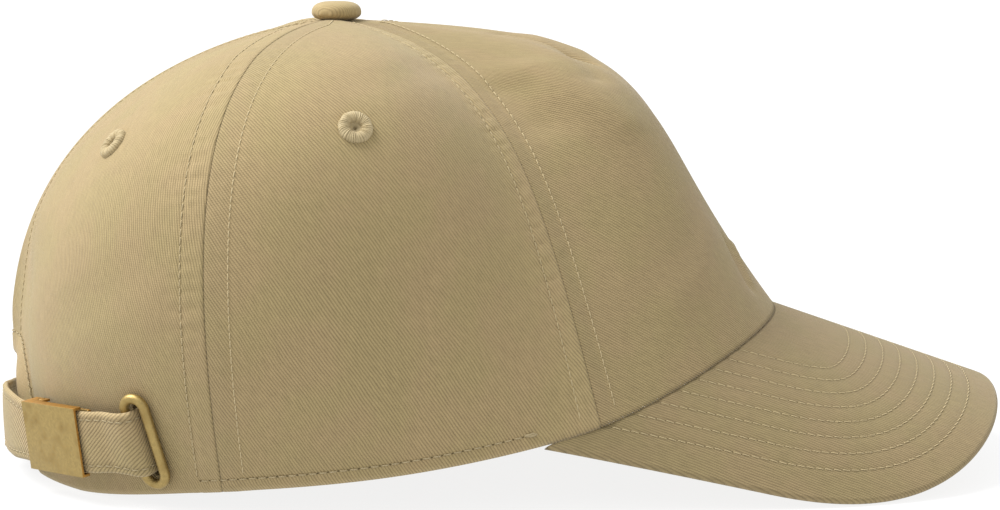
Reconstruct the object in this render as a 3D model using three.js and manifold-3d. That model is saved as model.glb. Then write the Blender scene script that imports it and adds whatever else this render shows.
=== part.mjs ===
// A five panel cap at rest on a level surface: crown, peak, sweatband, rear arch, strap, buckle and slot ring.
// Millimetres, +Z up, +X towards the peak, +Y the wearer's left. The origin is the middle of the base.
import * as THREE from "three";
import { mergeVertices } from "three/addons/utils/BufferGeometryUtils.js";
import Module from "manifold-3d";

const wasm = await Module();
wasm.setup();

// Cloth and clearances
const CLOTH = 1.4; // panel wall with its seam tape
const BAND_CLOTH = 1.2; // sweatband wall
const GAP = 0.3; // clearance between neighbouring pieces
const JOIN_GAP = 0.45; // clearance between the front panel's edge and the peak

// Crown
const RIM_HALF_LENGTH = 104.5;
const RIM_HALF_WIDTH = 83;
const CROWN_HEIGHT = 121.4;
const APEX_BACK = 17.5; // how far the apex lies behind the middle of the rim
const FRONT_SEAM = 59.3; // angle of the seam beside the front panel, degrees from the front
const REAR_SEAM = 114; // angle of the seam between side and back panel
const SEAM_RIB = 6; // width of the raised strip beside a seam
const SEAM_RIB_RISE = 0.35;
const BACK_RIDGE = 1.8; // how far the centre back seam stands out
const BACK_RIDGE_WIDTH = 9;
const APEX_HOLE = 3; // radius left open under the button

// Rear arch and sweatband
const ARCH_HALF_WIDTH = 30;
const ARCH_HEIGHT = 28;
const BAND_HEIGHT = 28;
const BAND_LIFT = 0.6; // how far the sweatband's lower edge stays above the rim
const BAND_STOP = 1.5; // how far the sweatband stops short of the arch
const BAND_GAP = 0.6; // clearance between panels and sweatband

// Peak
const PEAK_SLOPE = 19; // degrees down towards the tip
const PEAK_BEND = 100; // bend radius across its middle
const PEAK_CURL = 0.405; // how much the bend tightens towards its sides
const PEAK_LENGTH = 65.2;
const PEAK_HALF_WIDTH = 84.4; // measured round its bend
const PEAK_THICKNESS = 2.6;
const PEAK_TUCK = 0.8; // how far it reaches in under the crown's wall
const PEAK_END = 68; // angle where its side edge meets the rim
const PEAK_HEIGHT = 41.3; // height of its upper face at the middle of the join

// Button and eyelets
const BUTTON_RADIUS = 6.85;
const BUTTON_HEIGHT = 4.5;
const BUTTON_STEM = 2.4; // radius
const EYELET_RADIUS = 4.7;
const EYELET_HOLE = 1.3; // radius
const EYELET_SLEEVE = 2.1; // radius
const EYELET_RISE = 1.2;

// Strap, ring and buckle
const STRAP_WIDTH = 17.6;
const STRAP_THICKNESS = 1.6;
const STRAP_PINCH = 1.8; // how much narrower it is inside the buckle
const STRAP_SEWN = 14; // length sewn inside the left leg of the arch
const STRAP_TAIL = 22; // length tucked inside past the ring
const STRAP_EASE = 0.6; // extra room over the ring's limb, because the ring is flat and the panel is curved
const RING_ANGLE = 124.5;
const RING_LENGTH = 26.4;
const RING_WIDTH = 8.6;
const RING_WIRE = 1.3; // radius
const RING_TILT = 8; // degrees from the panel's upright line
const BUCKLE_ANGLE = 140.3;
const BUCKLE_LENGTH = 23;
const BUCKLE_SHEET = 0.6;
const BUCKLE_FLANGE = 2.3; // depth of the cover's side walls
const BUCKLE_EAR = 5; // length of the deeper ear at its hinge end
const BUCKLE_PIN = 0.8; // radius
const BUCKLE_PIN_INSET = 3.6; // from the hinge end

// Mesh steps
const CROWN_ROWS = 14;
const PEAK_STEPS = 32;
const BAND_STEPS = 60;
const STRAP_COLUMNS = 3;
const TUBE_SIDES = 8;
const ROUND_SIDES = 14;
const BUTTON_SIDES = 16;

// Each meridian of the crown is one curve from rim to apex. angle is in degrees from the front, lean is its outward
// lean at the rim and droop its fall at the apex in degrees. rise is the lower handle as a share of the height,
// reach the upper handle as a share of the distance to the apex.
const MERIDIANS = [
  { angle: 0, lean: -37, rise: 0.94, reach: 0.82, droop: 4 },
  { angle: 30, lean: -26, rise: 0.938, reach: 0.828, droop: 3.2 },
  { angle: 59, lean: -19.6, rise: 0.84, reach: 0.565, droop: 6 },
  { angle: 90, lean: 6, rise: 0.95, reach: 0.698, droop: 1.8 },
  { angle: 115, lean: 16.8, rise: 0.937, reach: 0.738, droop: 0.8 },
  { angle: 150, lean: 17.8, rise: 0.7, reach: 0.68, droop: 5.4 },
  { angle: 180, lean: 14.4, rise: 0.605, reach: 0.657, droop: 5.2 },
];

// Height of the rim behind the peak, as a share of PEAK_HEIGHT.
const RIM_HEIGHTS = [
  { angle: 90, height: 0.267 },
  { angle: 115, height: 0.132 },
  { angle: 142, height: 0 },
  { angle: 180, height: 0 },
];

// Soft dents and creases: angle in degrees, up as a share of the meridian, the rest as shares of CROWN_HEIGHT.
// turn is in degrees, and rise is negative for a dent.
const FOLDS = [
  { angle: 3, up: 0.66, wide: 0.16, tall: 0.075, turn: 0, rise: -0.02 },
  { angle: 27, up: 0.66, wide: 0.05, tall: 0.13, turn: 20, rise: 0.008 },
  { angle: 10, up: 0.08, wide: 0.055, tall: 0.09, turn: 24, rise: -0.009 },
  { angle: -12, up: 0.11, wide: 0.06, tall: 0.1, turn: -20, rise: -0.008 },
  { angle: 74, up: 0.3, wide: 0.2, tall: 0.3, turn: 15, rise: 0.007 },
  { angle: -84, up: 0.34, wide: 0.22, tall: 0.28, turn: -10, rise: -0.008 },
];

// Half of the peak's flat outline from its tip to its widest place: along as a share of PEAK_LENGTH, across as a
// share of PEAK_HALF_WIDTH. The handles shape the round corner between the two.
const PEAK_OUTLINE = {
  tip: { along: 1, across: 0 },
  tipHandle: { along: 1, across: 0.687 },
  hipHandle: { along: 0.69, across: 0.938 },
  hip: { along: 0.083, across: 1 },
  sideHandle: { along: -0.34, across: 1.043 },
};

// Places of the eyelets, as an angle and a share of the meridian.
const EYELETS = [
  { panel: "side_panel", angle: 94, up: 0.432 },
  { panel: "back_panel", angle: 137.3, up: 0.486 },
];

// Middle of the strap above the rim, as a share of STRAP_WIDTH.
const STRAP_HEIGHTS = [
  { angle: 115, height: 0.83 },
  { angle: 132, height: 0.98 },
  { angle: 150, height: 0.97 },
  { angle: 166, height: 0.87 },
  { angle: 182, height: 0.7 },
  { angle: 220, height: 0.68 },
];

// The strap is sewn inside the left leg, comes out through the arch, passes the buckle and the ring's rear limb, and
// goes in through the ring. share is of the place's own reach, towards the back of the cap; lift is in thicknesses.
// stand is how far its lower edge stands out from the face for each millimetre of width, as it hangs more upright.
const STRAP_ROUTE = [
  { place: "leg", share: 1, level: "inside", lift: 0, stand: 0 },
  { place: "leg", share: 0.5, level: "inside", lift: 0, stand: 0 },
  { place: "leg", share: 0.08, level: "inside", lift: 0, stand: 0 },
  { place: "arch", share: 0.72, level: "inside", lift: 0.2, stand: 0 },
  { place: "arch", share: 0.3, level: "face", lift: -0.8, stand: 0.08 },
  { place: "arch", share: -0.25, level: "face", lift: 1.3, stand: 0.16 },
  { place: "arch", share: -0.8, level: "buckle", lift: -0.1, stand: 0.14 },
  { place: "buckle", share: 1, level: "buckle", lift: 0.5, stand: 0.12 },
  { place: "buckle", share: 0.6, level: "buckle", lift: 0.3, stand: 0.12 },
  { place: "buckle", share: 0, level: "buckle", lift: 0, stand: 0.12 },
  { place: "buckle", share: -1, level: "buckle", lift: 0.5, stand: 0.12 },
  { place: "ring", share: 3, level: "buckle", lift: 0, stand: 0.08 },
  { place: "ring", share: 1.83, level: "limb", lift: -0.1, stand: 0.02 },
  { place: "ring", share: 1, level: "limb", lift: 0, stand: 0 },
  { place: "ring", share: 0.37, level: "limb", lift: -0.5, stand: 0 },
  { place: "ring", share: 0.13, level: "limb", lift: -1.5, stand: 0 },
  { place: "ring", share: 0, level: "face", lift: 0, stand: 0 },
  { place: "ring", share: -0.07, level: "inside", lift: 0.67, stand: 0 },
  { place: "ring", share: -0.67, level: "inside", lift: -0.56, stand: 0 },
  { place: "tail", share: 0.27, level: "inside", lift: -0.25, stand: 0 },
  { place: "tail", share: 1, level: "inside", lift: -0.19, stand: 0 },
];

const radians = THREE.MathUtils.degToRad;
const degrees = THREE.MathUtils.radToDeg;
const vector = (x, y, z) => new THREE.Vector3(x, y, z);

// Smooth value of a table's column at an angle, level at both ends of the table.
function tableValue(rows, column, angle) {
  const last = rows.length - 1;
  if (angle <= rows[0].angle) return rows[0][column];
  if (angle >= rows[last].angle) return rows[last][column];
  const i = rows.findIndex((row) => row.angle > angle) - 1;
  const slope = (k) => {
    if (k <= 0 || k >= last) return 0;
    return (rows[k + 1][column] - rows[k - 1][column]) / (rows[k + 1].angle - rows[k - 1].angle);
  };
  const span = rows[i + 1].angle - rows[i].angle;
  const s = (angle - rows[i].angle) / span;
  const rise = rows[i + 1][column] - rows[i][column];
  const a = slope(i) * span - rise;
  const b = -slope(i + 1) * span + rise;
  return rows[i][column] + s * rise + s * (1 - s) * (a * (1 - s) + b * s);
}

const smoothStep = (x) => {
  const s = Math.min(Math.max(x, 0), 1);
  return s * s * (3 - 2 * s);
};

// Angle folded to 0 at the front and 180 at the back.
function foldedAngle(phi) {
  const turn = ((phi % 360) + 360) % 360;
  return turn > 180 ? 360 - turn : turn;
}

// Fall of the bent peak at a distance y from its middle.
function peakDrop(y) {
  const r = y / PEAK_BEND;
  return PEAK_BEND * ((r * r) / 2 + PEAK_CURL * r ** 4);
}

// Height of the peak's upper face over a point of the plan.
function peakHeight(x, y) {
  const slope = radians(PEAK_SLOPE);
  return PEAK_HEIGHT - Math.tan(slope) * (x - RIM_HALF_LENGTH) - peakDrop(y) / Math.cos(slope);
}

function rimHeight(x, y, angle) {
  if (angle <= PEAK_END) return peakHeight(x, y) + JOIN_GAP;
  const at = (phi) => {
    const a = radians(phi);
    return peakHeight(RIM_HALF_LENGTH * Math.cos(a), RIM_HALF_WIDTH * Math.sin(a)) + JOIN_GAP;
  };
  const before = PEAK_END - 10;
  const rows = [
    { angle: before, height: at(before) },
    { angle: PEAK_END, height: at(PEAK_END) },
    ...RIM_HEIGHTS.map((row) => ({ angle: row.angle, height: row.height * PEAK_HEIGHT })),
  ];
  return Math.max(tableValue(rows, "height", angle), 0);
}

function rimPoint(phi, inset = 0) {
  const a = radians(phi);
  const x = RIM_HALF_LENGTH * Math.cos(a);
  const y = -RIM_HALF_WIDTH * Math.sin(a);
  const normal = vector(Math.cos(a) / RIM_HALF_LENGTH, -Math.sin(a) / RIM_HALF_WIDTH, 0).normalize();
  const point = vector(x, y, 0).addScaledVector(normal, -inset);
  return point.setZ(rimHeight(point.x, point.y, foldedAngle(phi)));
}

// Point of the crown's plain outer face: phi in degrees, t from 0 at the rim to 1 at the apex.
function plainPoint(phi, t) {
  const angle = foldedAngle(phi);
  const [lean, droop] = ["lean", "droop"].map((name) => radians(tableValue(MERIDIANS, name, angle)));
  const [rise, reach] = ["rise", "reach"].map((name) => tableValue(MERIDIANS, name, angle));
  const rim = rimPoint(phi);
  const apex = vector(-APEX_BACK, 0, CROWN_HEIGHT);
  const out = vector(rim.x - apex.x, rim.y, 0);
  const distance = out.length();
  out.normalize();
  const up = vector(0, 0, 1);
  const height = (apex.z - rim.z) * rise;
  const lower = rim.clone();
  lower.addScaledVector(out, Math.sin(lean) * height).addScaledVector(up, Math.cos(lean) * height);
  const upper = apex.clone();
  upper.addScaledVector(out, Math.cos(droop) * reach * distance);
  upper.addScaledVector(up, -Math.sin(droop) * reach * distance);
  return new THREE.CubicBezierCurve3(rim, lower, upper, apex).getPoint(t);
}

function crownNormal(phi, t) {
  const step = 0.002;
  const around = plainPoint(phi + 0.2, t).sub(plainPoint(phi - 0.2, t));
  const upward = plainPoint(phi, Math.min(t + step, 0.995)).sub(plainPoint(phi, Math.max(t, step) - step));
  return around.cross(upward).negate().normalize();
}

// How far dents, creases and the centre back ridge move the face outwards.
function foldRise(phi, t, point) {
  const metre = radians(1) * Math.hypot(point.x + APEX_BACK, point.y);
  let total = 0;
  for (const fold of FOLDS) {
    const turn = radians(fold.turn);
    const around = (((phi - fold.angle + 540) % 360) - 180) * metre;
    const upward = (t - fold.up) * CROWN_HEIGHT * 1.5;
    const u = (around * Math.cos(turn) + upward * Math.sin(turn)) / (fold.wide * CROWN_HEIGHT);
    const v = (upward * Math.cos(turn) - around * Math.sin(turn)) / (fold.tall * CROWN_HEIGHT);
    total += fold.rise * CROWN_HEIGHT * Math.exp(-u * u - v * v);
  }
  const back = (180 - foldedAngle(phi)) * metre;
  const ridge = BACK_RIDGE * Math.exp(-back / BACK_RIDGE_WIDTH) * smoothStep((0.9 - t) / 0.5);
  return (total + ridge) * smoothStep(t / 0.05);
}

// Point at a distance off outside the crown's face, without the seam ribs.
function crownPoint(phi, t, off = 0) {
  const point = plainPoint(phi, t);
  const rise = foldRise(phi, t, point);
  return point.addScaledVector(crownNormal(phi, t), rise + off);
}

// Share of the meridian at a height along the face above the rim.
function shareAtHeight(phi, height) {
  const step = 0.0025;
  let t = 0;
  let walked = 0;
  let last = plainPoint(phi, 0);
  while (walked < height) {
    const next = plainPoint(phi, t + step);
    const length = next.distanceTo(last);
    if (walked + length > height) return t + (step * (height - walked)) / length;
    walked += length;
    t += step;
    last = next;
  }
  return (t * height) / Math.max(walked, height);
}

const facePoint = (phi, height, off) => crownPoint(phi, shareAtHeight(phi, height), off);

// Length along the rim from one angle to another.
function rimLength(from, to) {
  const steps = 40;
  let total = 0;
  for (let i = 0; i < steps; i++) {
    const a = rimPoint(from + ((to - from) * i) / steps);
    total += a.distanceTo(rimPoint(from + ((to - from) * (i + 1)) / steps));
  }
  return total;
}

// Degrees of the rim that one millimetre takes at an angle.
const degreesPerLength = (phi) => 1 / rimLength(phi, phi + 1);

// A closed body from two grids of points that face each other: outer and inner give a point for a column and row.
function shellGeometry(columns, rows, outer, inner) {
  const points = [];
  for (const face of [outer, inner])
    for (let c = 0; c < columns; c++) for (let r = 0; r < rows; r++) points.push(face(c, r));
  const at = (face, c, r) => (face * columns + c) * rows + r;
  const index = [];
  const quad = (a, b, c, d) => index.push(a, b, c, a, c, d);
  for (let c = 0; c + 1 < columns; c++)
    for (let r = 0; r + 1 < rows; r++) {
      quad(at(0, c, r), at(0, c + 1, r), at(0, c + 1, r + 1), at(0, c, r + 1));
      quad(at(1, c, r), at(1, c, r + 1), at(1, c + 1, r + 1), at(1, c + 1, r));
    }
  for (let c = 0; c + 1 < columns; c++) {
    quad(at(1, c, 0), at(1, c + 1, 0), at(0, c + 1, 0), at(0, c, 0));
    quad(at(0, c, rows - 1), at(0, c + 1, rows - 1), at(1, c + 1, rows - 1), at(1, c, rows - 1));
  }
  for (let r = 0; r + 1 < rows; r++) {
    quad(at(0, 0, r), at(0, 0, r + 1), at(1, 0, r + 1), at(1, 0, r));
    quad(at(1, columns - 1, r), at(1, columns - 1, r + 1), at(0, columns - 1, r + 1), at(0, columns - 1, r));
  }
  return facingOut(points, index);
}

// Geometry from points and triangles, turned so that its faces point out.
function facingOut(points, index) {
  let volume = 0;
  for (let i = 0; i < index.length; i += 3) {
    const [a, b, c] = [points[index[i]], points[index[i + 1]], points[index[i + 2]]];
    volume += a.dot(b.clone().cross(c));
  }
  if (volume < 0) for (let i = 0; i < index.length; i += 3) index.splice(i, 3, index[i], index[i + 2], index[i + 1]);
  const geometry = new THREE.BufferGeometry().setFromPoints(points);
  geometry.setIndex(index);
  return geometry;
}

function solidFrom(geometry) {
  const bare = geometry.clone();
  bare.deleteAttribute("normal");
  bare.deleteAttribute("uv");
  const merged = mergeVertices(bare, 1e-4);
  const triVerts = new Uint32Array(merged.index.array);
  return new wasm.Manifold(new wasm.Mesh({ numProp: 3, vertProperties: merged.attributes.position.array, triVerts }));
}

function geometryFrom(solid) {
  const mesh = solid.getMesh();
  const geometry = new THREE.BufferGeometry();
  geometry.setAttribute("position", new THREE.BufferAttribute(mesh.vertProperties, 3));
  geometry.setIndex(new THREE.BufferAttribute(mesh.triVerts, 1));
  return geometry;
}

const cutAway = (geometry, ...cutters) =>
  geometryFrom(cutters.reduce((solid, cutter) => solid.subtract(solidFrom(cutter)), solidFrom(geometry)));

const joined = (...geometries) =>
  geometryFrom(geometries.map(solidFrom).reduce((solid, more) => solid.add(more)));

// Frame on the crown's face: x round the cap, y up the meridian, z outwards.
function faceFrame(phi, t, off = 0, tilt = 0) {
  const z = crownNormal(phi, t);
  const up = plainPoint(phi, Math.min(t + 0.004, 1)).sub(plainPoint(phi, Math.max(t - 0.004, 0)));
  const x = up.cross(z).normalize();
  const y = z.clone().cross(x);
  const frame = new THREE.Matrix4().makeBasis(x, y, z).setPosition(crownPoint(phi, t, off));
  return frame.multiply(new THREE.Matrix4().makeRotationZ(radians(tilt)));
}

// Angles of a panel's columns at one height: its two edges, the seam ribs and the plain cloth between them.
function panelAngles(from, to, steps, radius) {
  const span = to - from;
  const rib = Math.min(degrees(SEAM_RIB / radius), 0.28 * span);
  const edge = Math.min(degrees(GAP / 2 / radius), rib / 3);
  const side = [edge, 0.85 * rib, rib];
  const middle = [];
  for (let i = 1; i < steps; i++) middle.push(rib + ((span - 2 * rib) * i) / steps);
  return [...side, ...middle, ...side.map((a) => span - a).reverse()].map((a) => from + a);
}

function panelGeometry(from, to, steps) {
  const columns = steps + 5;
  const rows = [];
  for (let r = 0; r <= CROWN_ROWS; r++) {
    const middle = (from + to) / 2;
    const apexShare = (phi) => {
      const rim = rimPoint(phi);
      const distance = Math.hypot(rim.x + APEX_BACK, rim.y);
      return 1 - APEX_HOLE / (3 * tableValue(MERIDIANS, "reach", foldedAngle(phi)) * distance);
    };
    const share = r / CROWN_ROWS;
    const near = plainPoint(middle, share * apexShare(middle));
    const angles = panelAngles(from, to, steps, Math.hypot(near.x + APEX_BACK, near.y));
    rows.push(angles.map((phi, c) => ({ phi, t: share * apexShare(phi), raised: c < 2 || c > columns - 3 })));
  }
  const rib = (r) => SEAM_RIB_RISE * smoothStep((CROWN_ROWS - r) / 3);
  const outer = (c, r) => {
    const { phi, t, raised } = rows[r][c];
    return crownPoint(phi, t, raised ? rib(r) : 0);
  };
  const inner = (c, r) => {
    const { phi, t } = rows[r][c];
    if (r > 0) return crownPoint(phi, t, -CLOTH);
    const rim = rimPoint(phi);
    const across = -rimPoint(phi, CLOTH).sub(rim).dot(crownNormal(phi, 0));
    return rimPoint(phi, (CLOTH * CLOTH) / across);
  };
  return shellGeometry(columns, CROWN_ROWS + 1, outer, inner);
}

// The rear opening: a half oval that runs through the back of the crown.
function archCutter() {
  const shape = new THREE.Shape();
  shape.moveTo(ARCH_HALF_WIDTH, -ARCH_HEIGHT);
  shape.lineTo(ARCH_HALF_WIDTH, 0);
  shape.absellipse(0, 0, ARCH_HALF_WIDTH, ARCH_HEIGHT, 0, Math.PI, false);
  shape.lineTo(-ARCH_HALF_WIDTH, -ARCH_HEIGHT);
  const depth = RIM_HALF_LENGTH;
  const geometry = new THREE.ExtrudeGeometry(shape, { depth, bevelEnabled: false, curveSegments: 32 });
  geometry.applyMatrix4(new THREE.Matrix4().makeBasis(vector(0, 1, 0), vector(0, 0, 1), vector(1, 0, 0)));
  return geometry.translate(-RIM_HALF_LENGTH * 1.5, 0, 0);
}

function eyeletCutter(phi, t) {
  const geometry = new THREE.CylinderGeometry(EYELET_SLEEVE + GAP, EYELET_SLEEVE + GAP, 8 * CLOTH, ROUND_SIDES);
  return geometry.rotateX(Math.PI / 2).applyMatrix4(faceFrame(phi, t));
}

// An embroidered eyelet: a raised ring of thread outside and a short sleeve through the cloth.
function eyeletGeometry(phi, t) {
  const profile = [
    [EYELET_HOLE, -CLOTH - GAP],
    [EYELET_SLEEVE, -CLOTH - GAP],
    [EYELET_SLEEVE, GAP],
    [EYELET_RADIUS, GAP],
    [EYELET_RADIUS, GAP + 0.3 * EYELET_RISE],
    [0.8 * EYELET_RADIUS, EYELET_RISE],
    [0.5 * EYELET_RADIUS, EYELET_RISE],
    [EYELET_HOLE, 0.5 * EYELET_RISE],
    [EYELET_HOLE, -CLOTH - GAP],
  ].map(([x, y]) => new THREE.Vector2(x, y));
  return new THREE.LatheGeometry(profile, ROUND_SIDES).rotateX(Math.PI / 2).applyMatrix4(faceFrame(phi, t));
}

// A covered button: a flattened dome whose stem goes down between the panels.
function buttonGeometry() {
  const dome = new THREE.EllipseCurve(0, 0, BUTTON_RADIUS, 0.72 * BUTTON_HEIGHT, 0, Math.PI / 2);
  const points = dome.getPoints(6).map((p) => new THREE.Vector2(p.x, p.y + 0.28 * BUTTON_HEIGHT));
  const profile = [
    new THREE.Vector2(0, -CLOTH - GAP),
    new THREE.Vector2(BUTTON_STEM, -CLOTH - GAP),
    new THREE.Vector2(BUTTON_STEM, 0),
    new THREE.Vector2(0.9 * BUTTON_RADIUS, 0),
    ...points.slice(0, -1),
    new THREE.Vector2(0, BUTTON_HEIGHT),
  ];
  const geometry = new THREE.LatheGeometry(profile, BUTTON_SIDES).rotateX(Math.PI / 2);
  return geometry.translate(-APEX_BACK, 0, CROWN_HEIGHT + GAP);
}

// Place on the peak's face from its flat pattern: along from the front of the rim, across round the bend, and
// depth below the upper face.
function peakPoint(along, across, depth = 0) {
  const steps = 48;
  const side = Math.sign(across);
  let y = 0;
  const slopeAt = (at) => (peakDrop(at + 0.01) - peakDrop(at - 0.01)) / 0.02;
  for (let i = 0; i < steps; i++) y += Math.abs(across) / steps / Math.hypot(1, slopeAt(y));
  const bend = Math.atan(slopeAt(y));
  const slope = radians(PEAK_SLOPE);
  const forward = vector(Math.cos(slope), 0, -Math.sin(slope));
  const upward = vector(Math.sin(slope), 0, Math.cos(slope));
  const point = vector(RIM_HALF_LENGTH, 0, PEAK_HEIGHT).addScaledVector(forward, along);
  point.addScaledVector(upward, -peakDrop(y) - depth * Math.cos(bend));
  point.y = side * (y - depth * Math.sin(bend));
  return point;
}

// Flat place of a point of the rim: the reverse of peakPoint on the upper face.
function peakFlat(phi, inset) {
  const a = radians(phi);
  const x = (RIM_HALF_LENGTH - inset) * Math.cos(a);
  const y = (RIM_HALF_WIDTH - inset) * Math.sin(a);
  const slope = radians(PEAK_SLOPE);
  const along = (x - RIM_HALF_LENGTH + peakDrop(y) * Math.sin(slope)) / Math.cos(slope);
  const steps = 48;
  let across = 0;
  for (let i = 0; i < steps; i++) {
    const from = (y * i) / steps;
    const to = (y * (i + 1)) / steps;
    across += Math.hypot(to - from, peakDrop(to) - peakDrop(from));
  }
  return new THREE.Vector2(along, across);
}

// The outer edge of the peak in its flat pattern, from the tip to where it meets the rim.
function peakOutline() {
  const at = ({ along, across }) => new THREE.Vector2(along * PEAK_LENGTH, across * PEAK_HALF_WIDTH);
  const { tip, tipHandle, hipHandle, hip, sideHandle } = PEAK_OUTLINE;
  const path = new THREE.CurvePath();
  path.add(new THREE.CubicBezierCurve(at(tip), at(tipHandle), at(hipHandle), at(hip)));
  path.add(new THREE.QuadraticBezierCurve(at(hip), at(sideHandle), peakFlat(PEAK_END, 0)));
  return path;
}

function peakGeometry() {
  const outline = peakOutline();
  const half = PEAK_THICKNESS / 2;
  const innerEnd = PEAK_END - 4;
  const edgeRows = [
    { back: 0, half: 0.45 * half },
    { back: 0.35 * half, half: 0.85 * half },
    { back: half, half },
  ];
  const shares = [0, 0.34, 0.68];
  const columns = 2 * PEAK_STEPS + 1;
  const place = (c, r) => {
    const share = (c - PEAK_STEPS) / PEAK_STEPS;
    const k = Math.abs(share);
    const join = peakFlat(innerEnd * k, PEAK_TUCK);
    const edge = outline.getPointAt(k);
    const inward = join.clone().sub(edge).normalize();
    let flat = join.clone();
    let thick = half;
    if (r < shares.length) flat.lerp(edge, shares[r]);
    else {
      const row = edgeRows[edgeRows.length - 1 - (r - shares.length)];
      const reach = Math.min(row.back, 0.2 * join.distanceTo(edge));
      flat = edge.clone().addScaledVector(inward, reach);
      thick = row.half;
    }
    return { along: flat.x, across: Math.sign(share) * flat.y, thick };
  };
  const face = (sign) => (c, r) => {
    const { along, across, thick } = place(c, r);
    return peakPoint(along, across, half - sign * thick);
  };
  return shellGeometry(columns, shares.length + edgeRows.length, face(1), face(-1));
}

// The sweatband: one strip inside the rim from leg to leg of the arch.
function sweatbandGeometry() {
  const legAngle = 180 - degrees(Math.asin(ARCH_HALF_WIDTH / RIM_HALF_WIDTH));
  const reach = legAngle - BAND_STOP * degreesPerLength(legAngle);
  const columns = BAND_STEPS + 1;
  const heights = [BAND_LIFT, BAND_HEIGHT / 3, (2 * BAND_HEIGHT) / 3, BAND_HEIGHT];
  const angle = (c) => -reach + (2 * reach * c) / BAND_STEPS;
  const face = (off) => (c, r) => facePoint(angle(c), heights[r], off);
  const outside = -CLOTH - BAND_GAP;
  return shellGeometry(columns, heights.length, face(outside), face(outside - BAND_CLOTH));
}

const insideBand = -(CLOTH + BAND_GAP + BAND_CLOTH + GAP + STRAP_THICKNESS / 2);

// Width of the strap, which the buckle squeezes together.
function strapWidthAt(phi) {
  const away = Math.abs(phi - BUCKLE_ANGLE) / degreesPerLength(BUCKLE_ANGLE);
  return STRAP_WIDTH - STRAP_PINCH * smoothStep((BUCKLE_LENGTH / 2 + 7 - away) / 5);
}

// The strap's route as its middle: phi round the cap, off outside the face, and its stand.
function strapRoute() {
  const leg = degrees(Math.asin(ARCH_HALF_WIDTH / RIM_HALF_WIDTH));
  const half = STRAP_THICKNESS / 2;
  const near = degreesPerLength(RING_ANGLE);
  const places = {
    leg: { angle: 180 + leg, unit: STRAP_SEWN * degreesPerLength(180 + leg) },
    arch: { angle: 180, unit: leg },
    buckle: { angle: BUCKLE_ANGLE, unit: (BUCKLE_LENGTH / 2) * degreesPerLength(BUCKLE_ANGLE) },
    ring: { angle: RING_ANGLE, unit: (RING_WIDTH / 2 - RING_WIRE) * near },
    tail: { angle: RING_ANGLE, unit: -STRAP_TAIL * near },
  };
  const levels = {
    inside: insideBand,
    face: 0,
    buckle: buckleLevels().strap,
    limb: 2 * RING_WIRE + 2 * GAP + half + STRAP_EASE,
  };
  return STRAP_ROUTE.map(({ place, share, level, lift, stand }) => ({
    phi: places[place].angle + share * places[place].unit,
    off: levels[level] + lift * STRAP_THICKNESS,
    stand,
  }));
}

function strapGeometry() {
  const route = strapRoute();
  const curve = new THREE.CatmullRomCurve3(
    route.map(({ phi, off, stand }) => vector(phi, off, stand)),
    false,
    "centripetal",
  );
  const stations = [];
  for (let i = 0; i + 1 < route.length; i++) {
    const steps = Math.abs(route[i + 1].phi - route[i].phi) > 6 ? 4 : 2;
    for (let k = 0; k < steps; k++) stations.push((i + k / steps) / (route.length - 1));
  }
  stations.push(1);
  const middles = stations.map((s) => curve.getPoint(s));
  const rows = STRAP_COLUMNS + 1;
  const line = middles.map(({ x: phi, y: off, z: stand }) => {
    const middle = tableValue(STRAP_HEIGHTS, "height", phi) * STRAP_WIDTH;
    const tilt = ringTiltAt(phi);
    return Array.from({ length: rows }, (_, r) => {
      const across = (r / STRAP_COLUMNS - 0.5) * strapWidthAt(phi);
      return facePoint(phi + tilt * across, middle + across, off - stand * across);
    });
  });
  const sideways = (c, r) => {
    const before = line[Math.max(c - 1, 0)][r];
    const after = line[Math.min(c + 1, line.length - 1)][r];
    const along = after.clone().sub(before);
    const across = line[c][STRAP_COLUMNS].clone().sub(line[c][0]);
    return along.cross(across).normalize();
  };
  const face = (sign) => (c, r) => line[c][r].clone().addScaledVector(sideways(c, r), (sign * STRAP_THICKNESS) / 2);
  return shellGeometry(line.length, rows, face(1), face(-1));
}

// Degrees by which the strap follows the ring's tilt for each millimetre across it, near the ring alone.
function ringTiltAt(phi) {
  const near = degreesPerLength(RING_ANGLE);
  const away = Math.abs(phi - RING_ANGLE) / near;
  return Math.tan(radians(RING_TILT)) * near * smoothStep((26 - away) / 20);
}

const ringHeight = () => tableValue(STRAP_HEIGHTS, "height", RING_ANGLE) * STRAP_WIDTH;

function ringFrame(off) {
  return faceFrame(RING_ANGLE, shareAtHeight(RING_ANGLE, ringHeight()), off, RING_TILT);
}

// A stadium: two straight sides and two half rounds, as a flat closed line.
function stadiumPoints(length, width, arcSteps) {
  const r = width / 2;
  const straight = length / 2 - r;
  const points = [];
  for (const end of [1, -1])
    for (let i = 0; i <= arcSteps; i++) {
      const a = (Math.PI * i) / arcSteps + (end < 0 ? Math.PI : 0);
      points.push(new THREE.Vector2(r * Math.cos(a), end * straight + r * Math.sin(a)));
    }
  return points;
}

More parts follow.
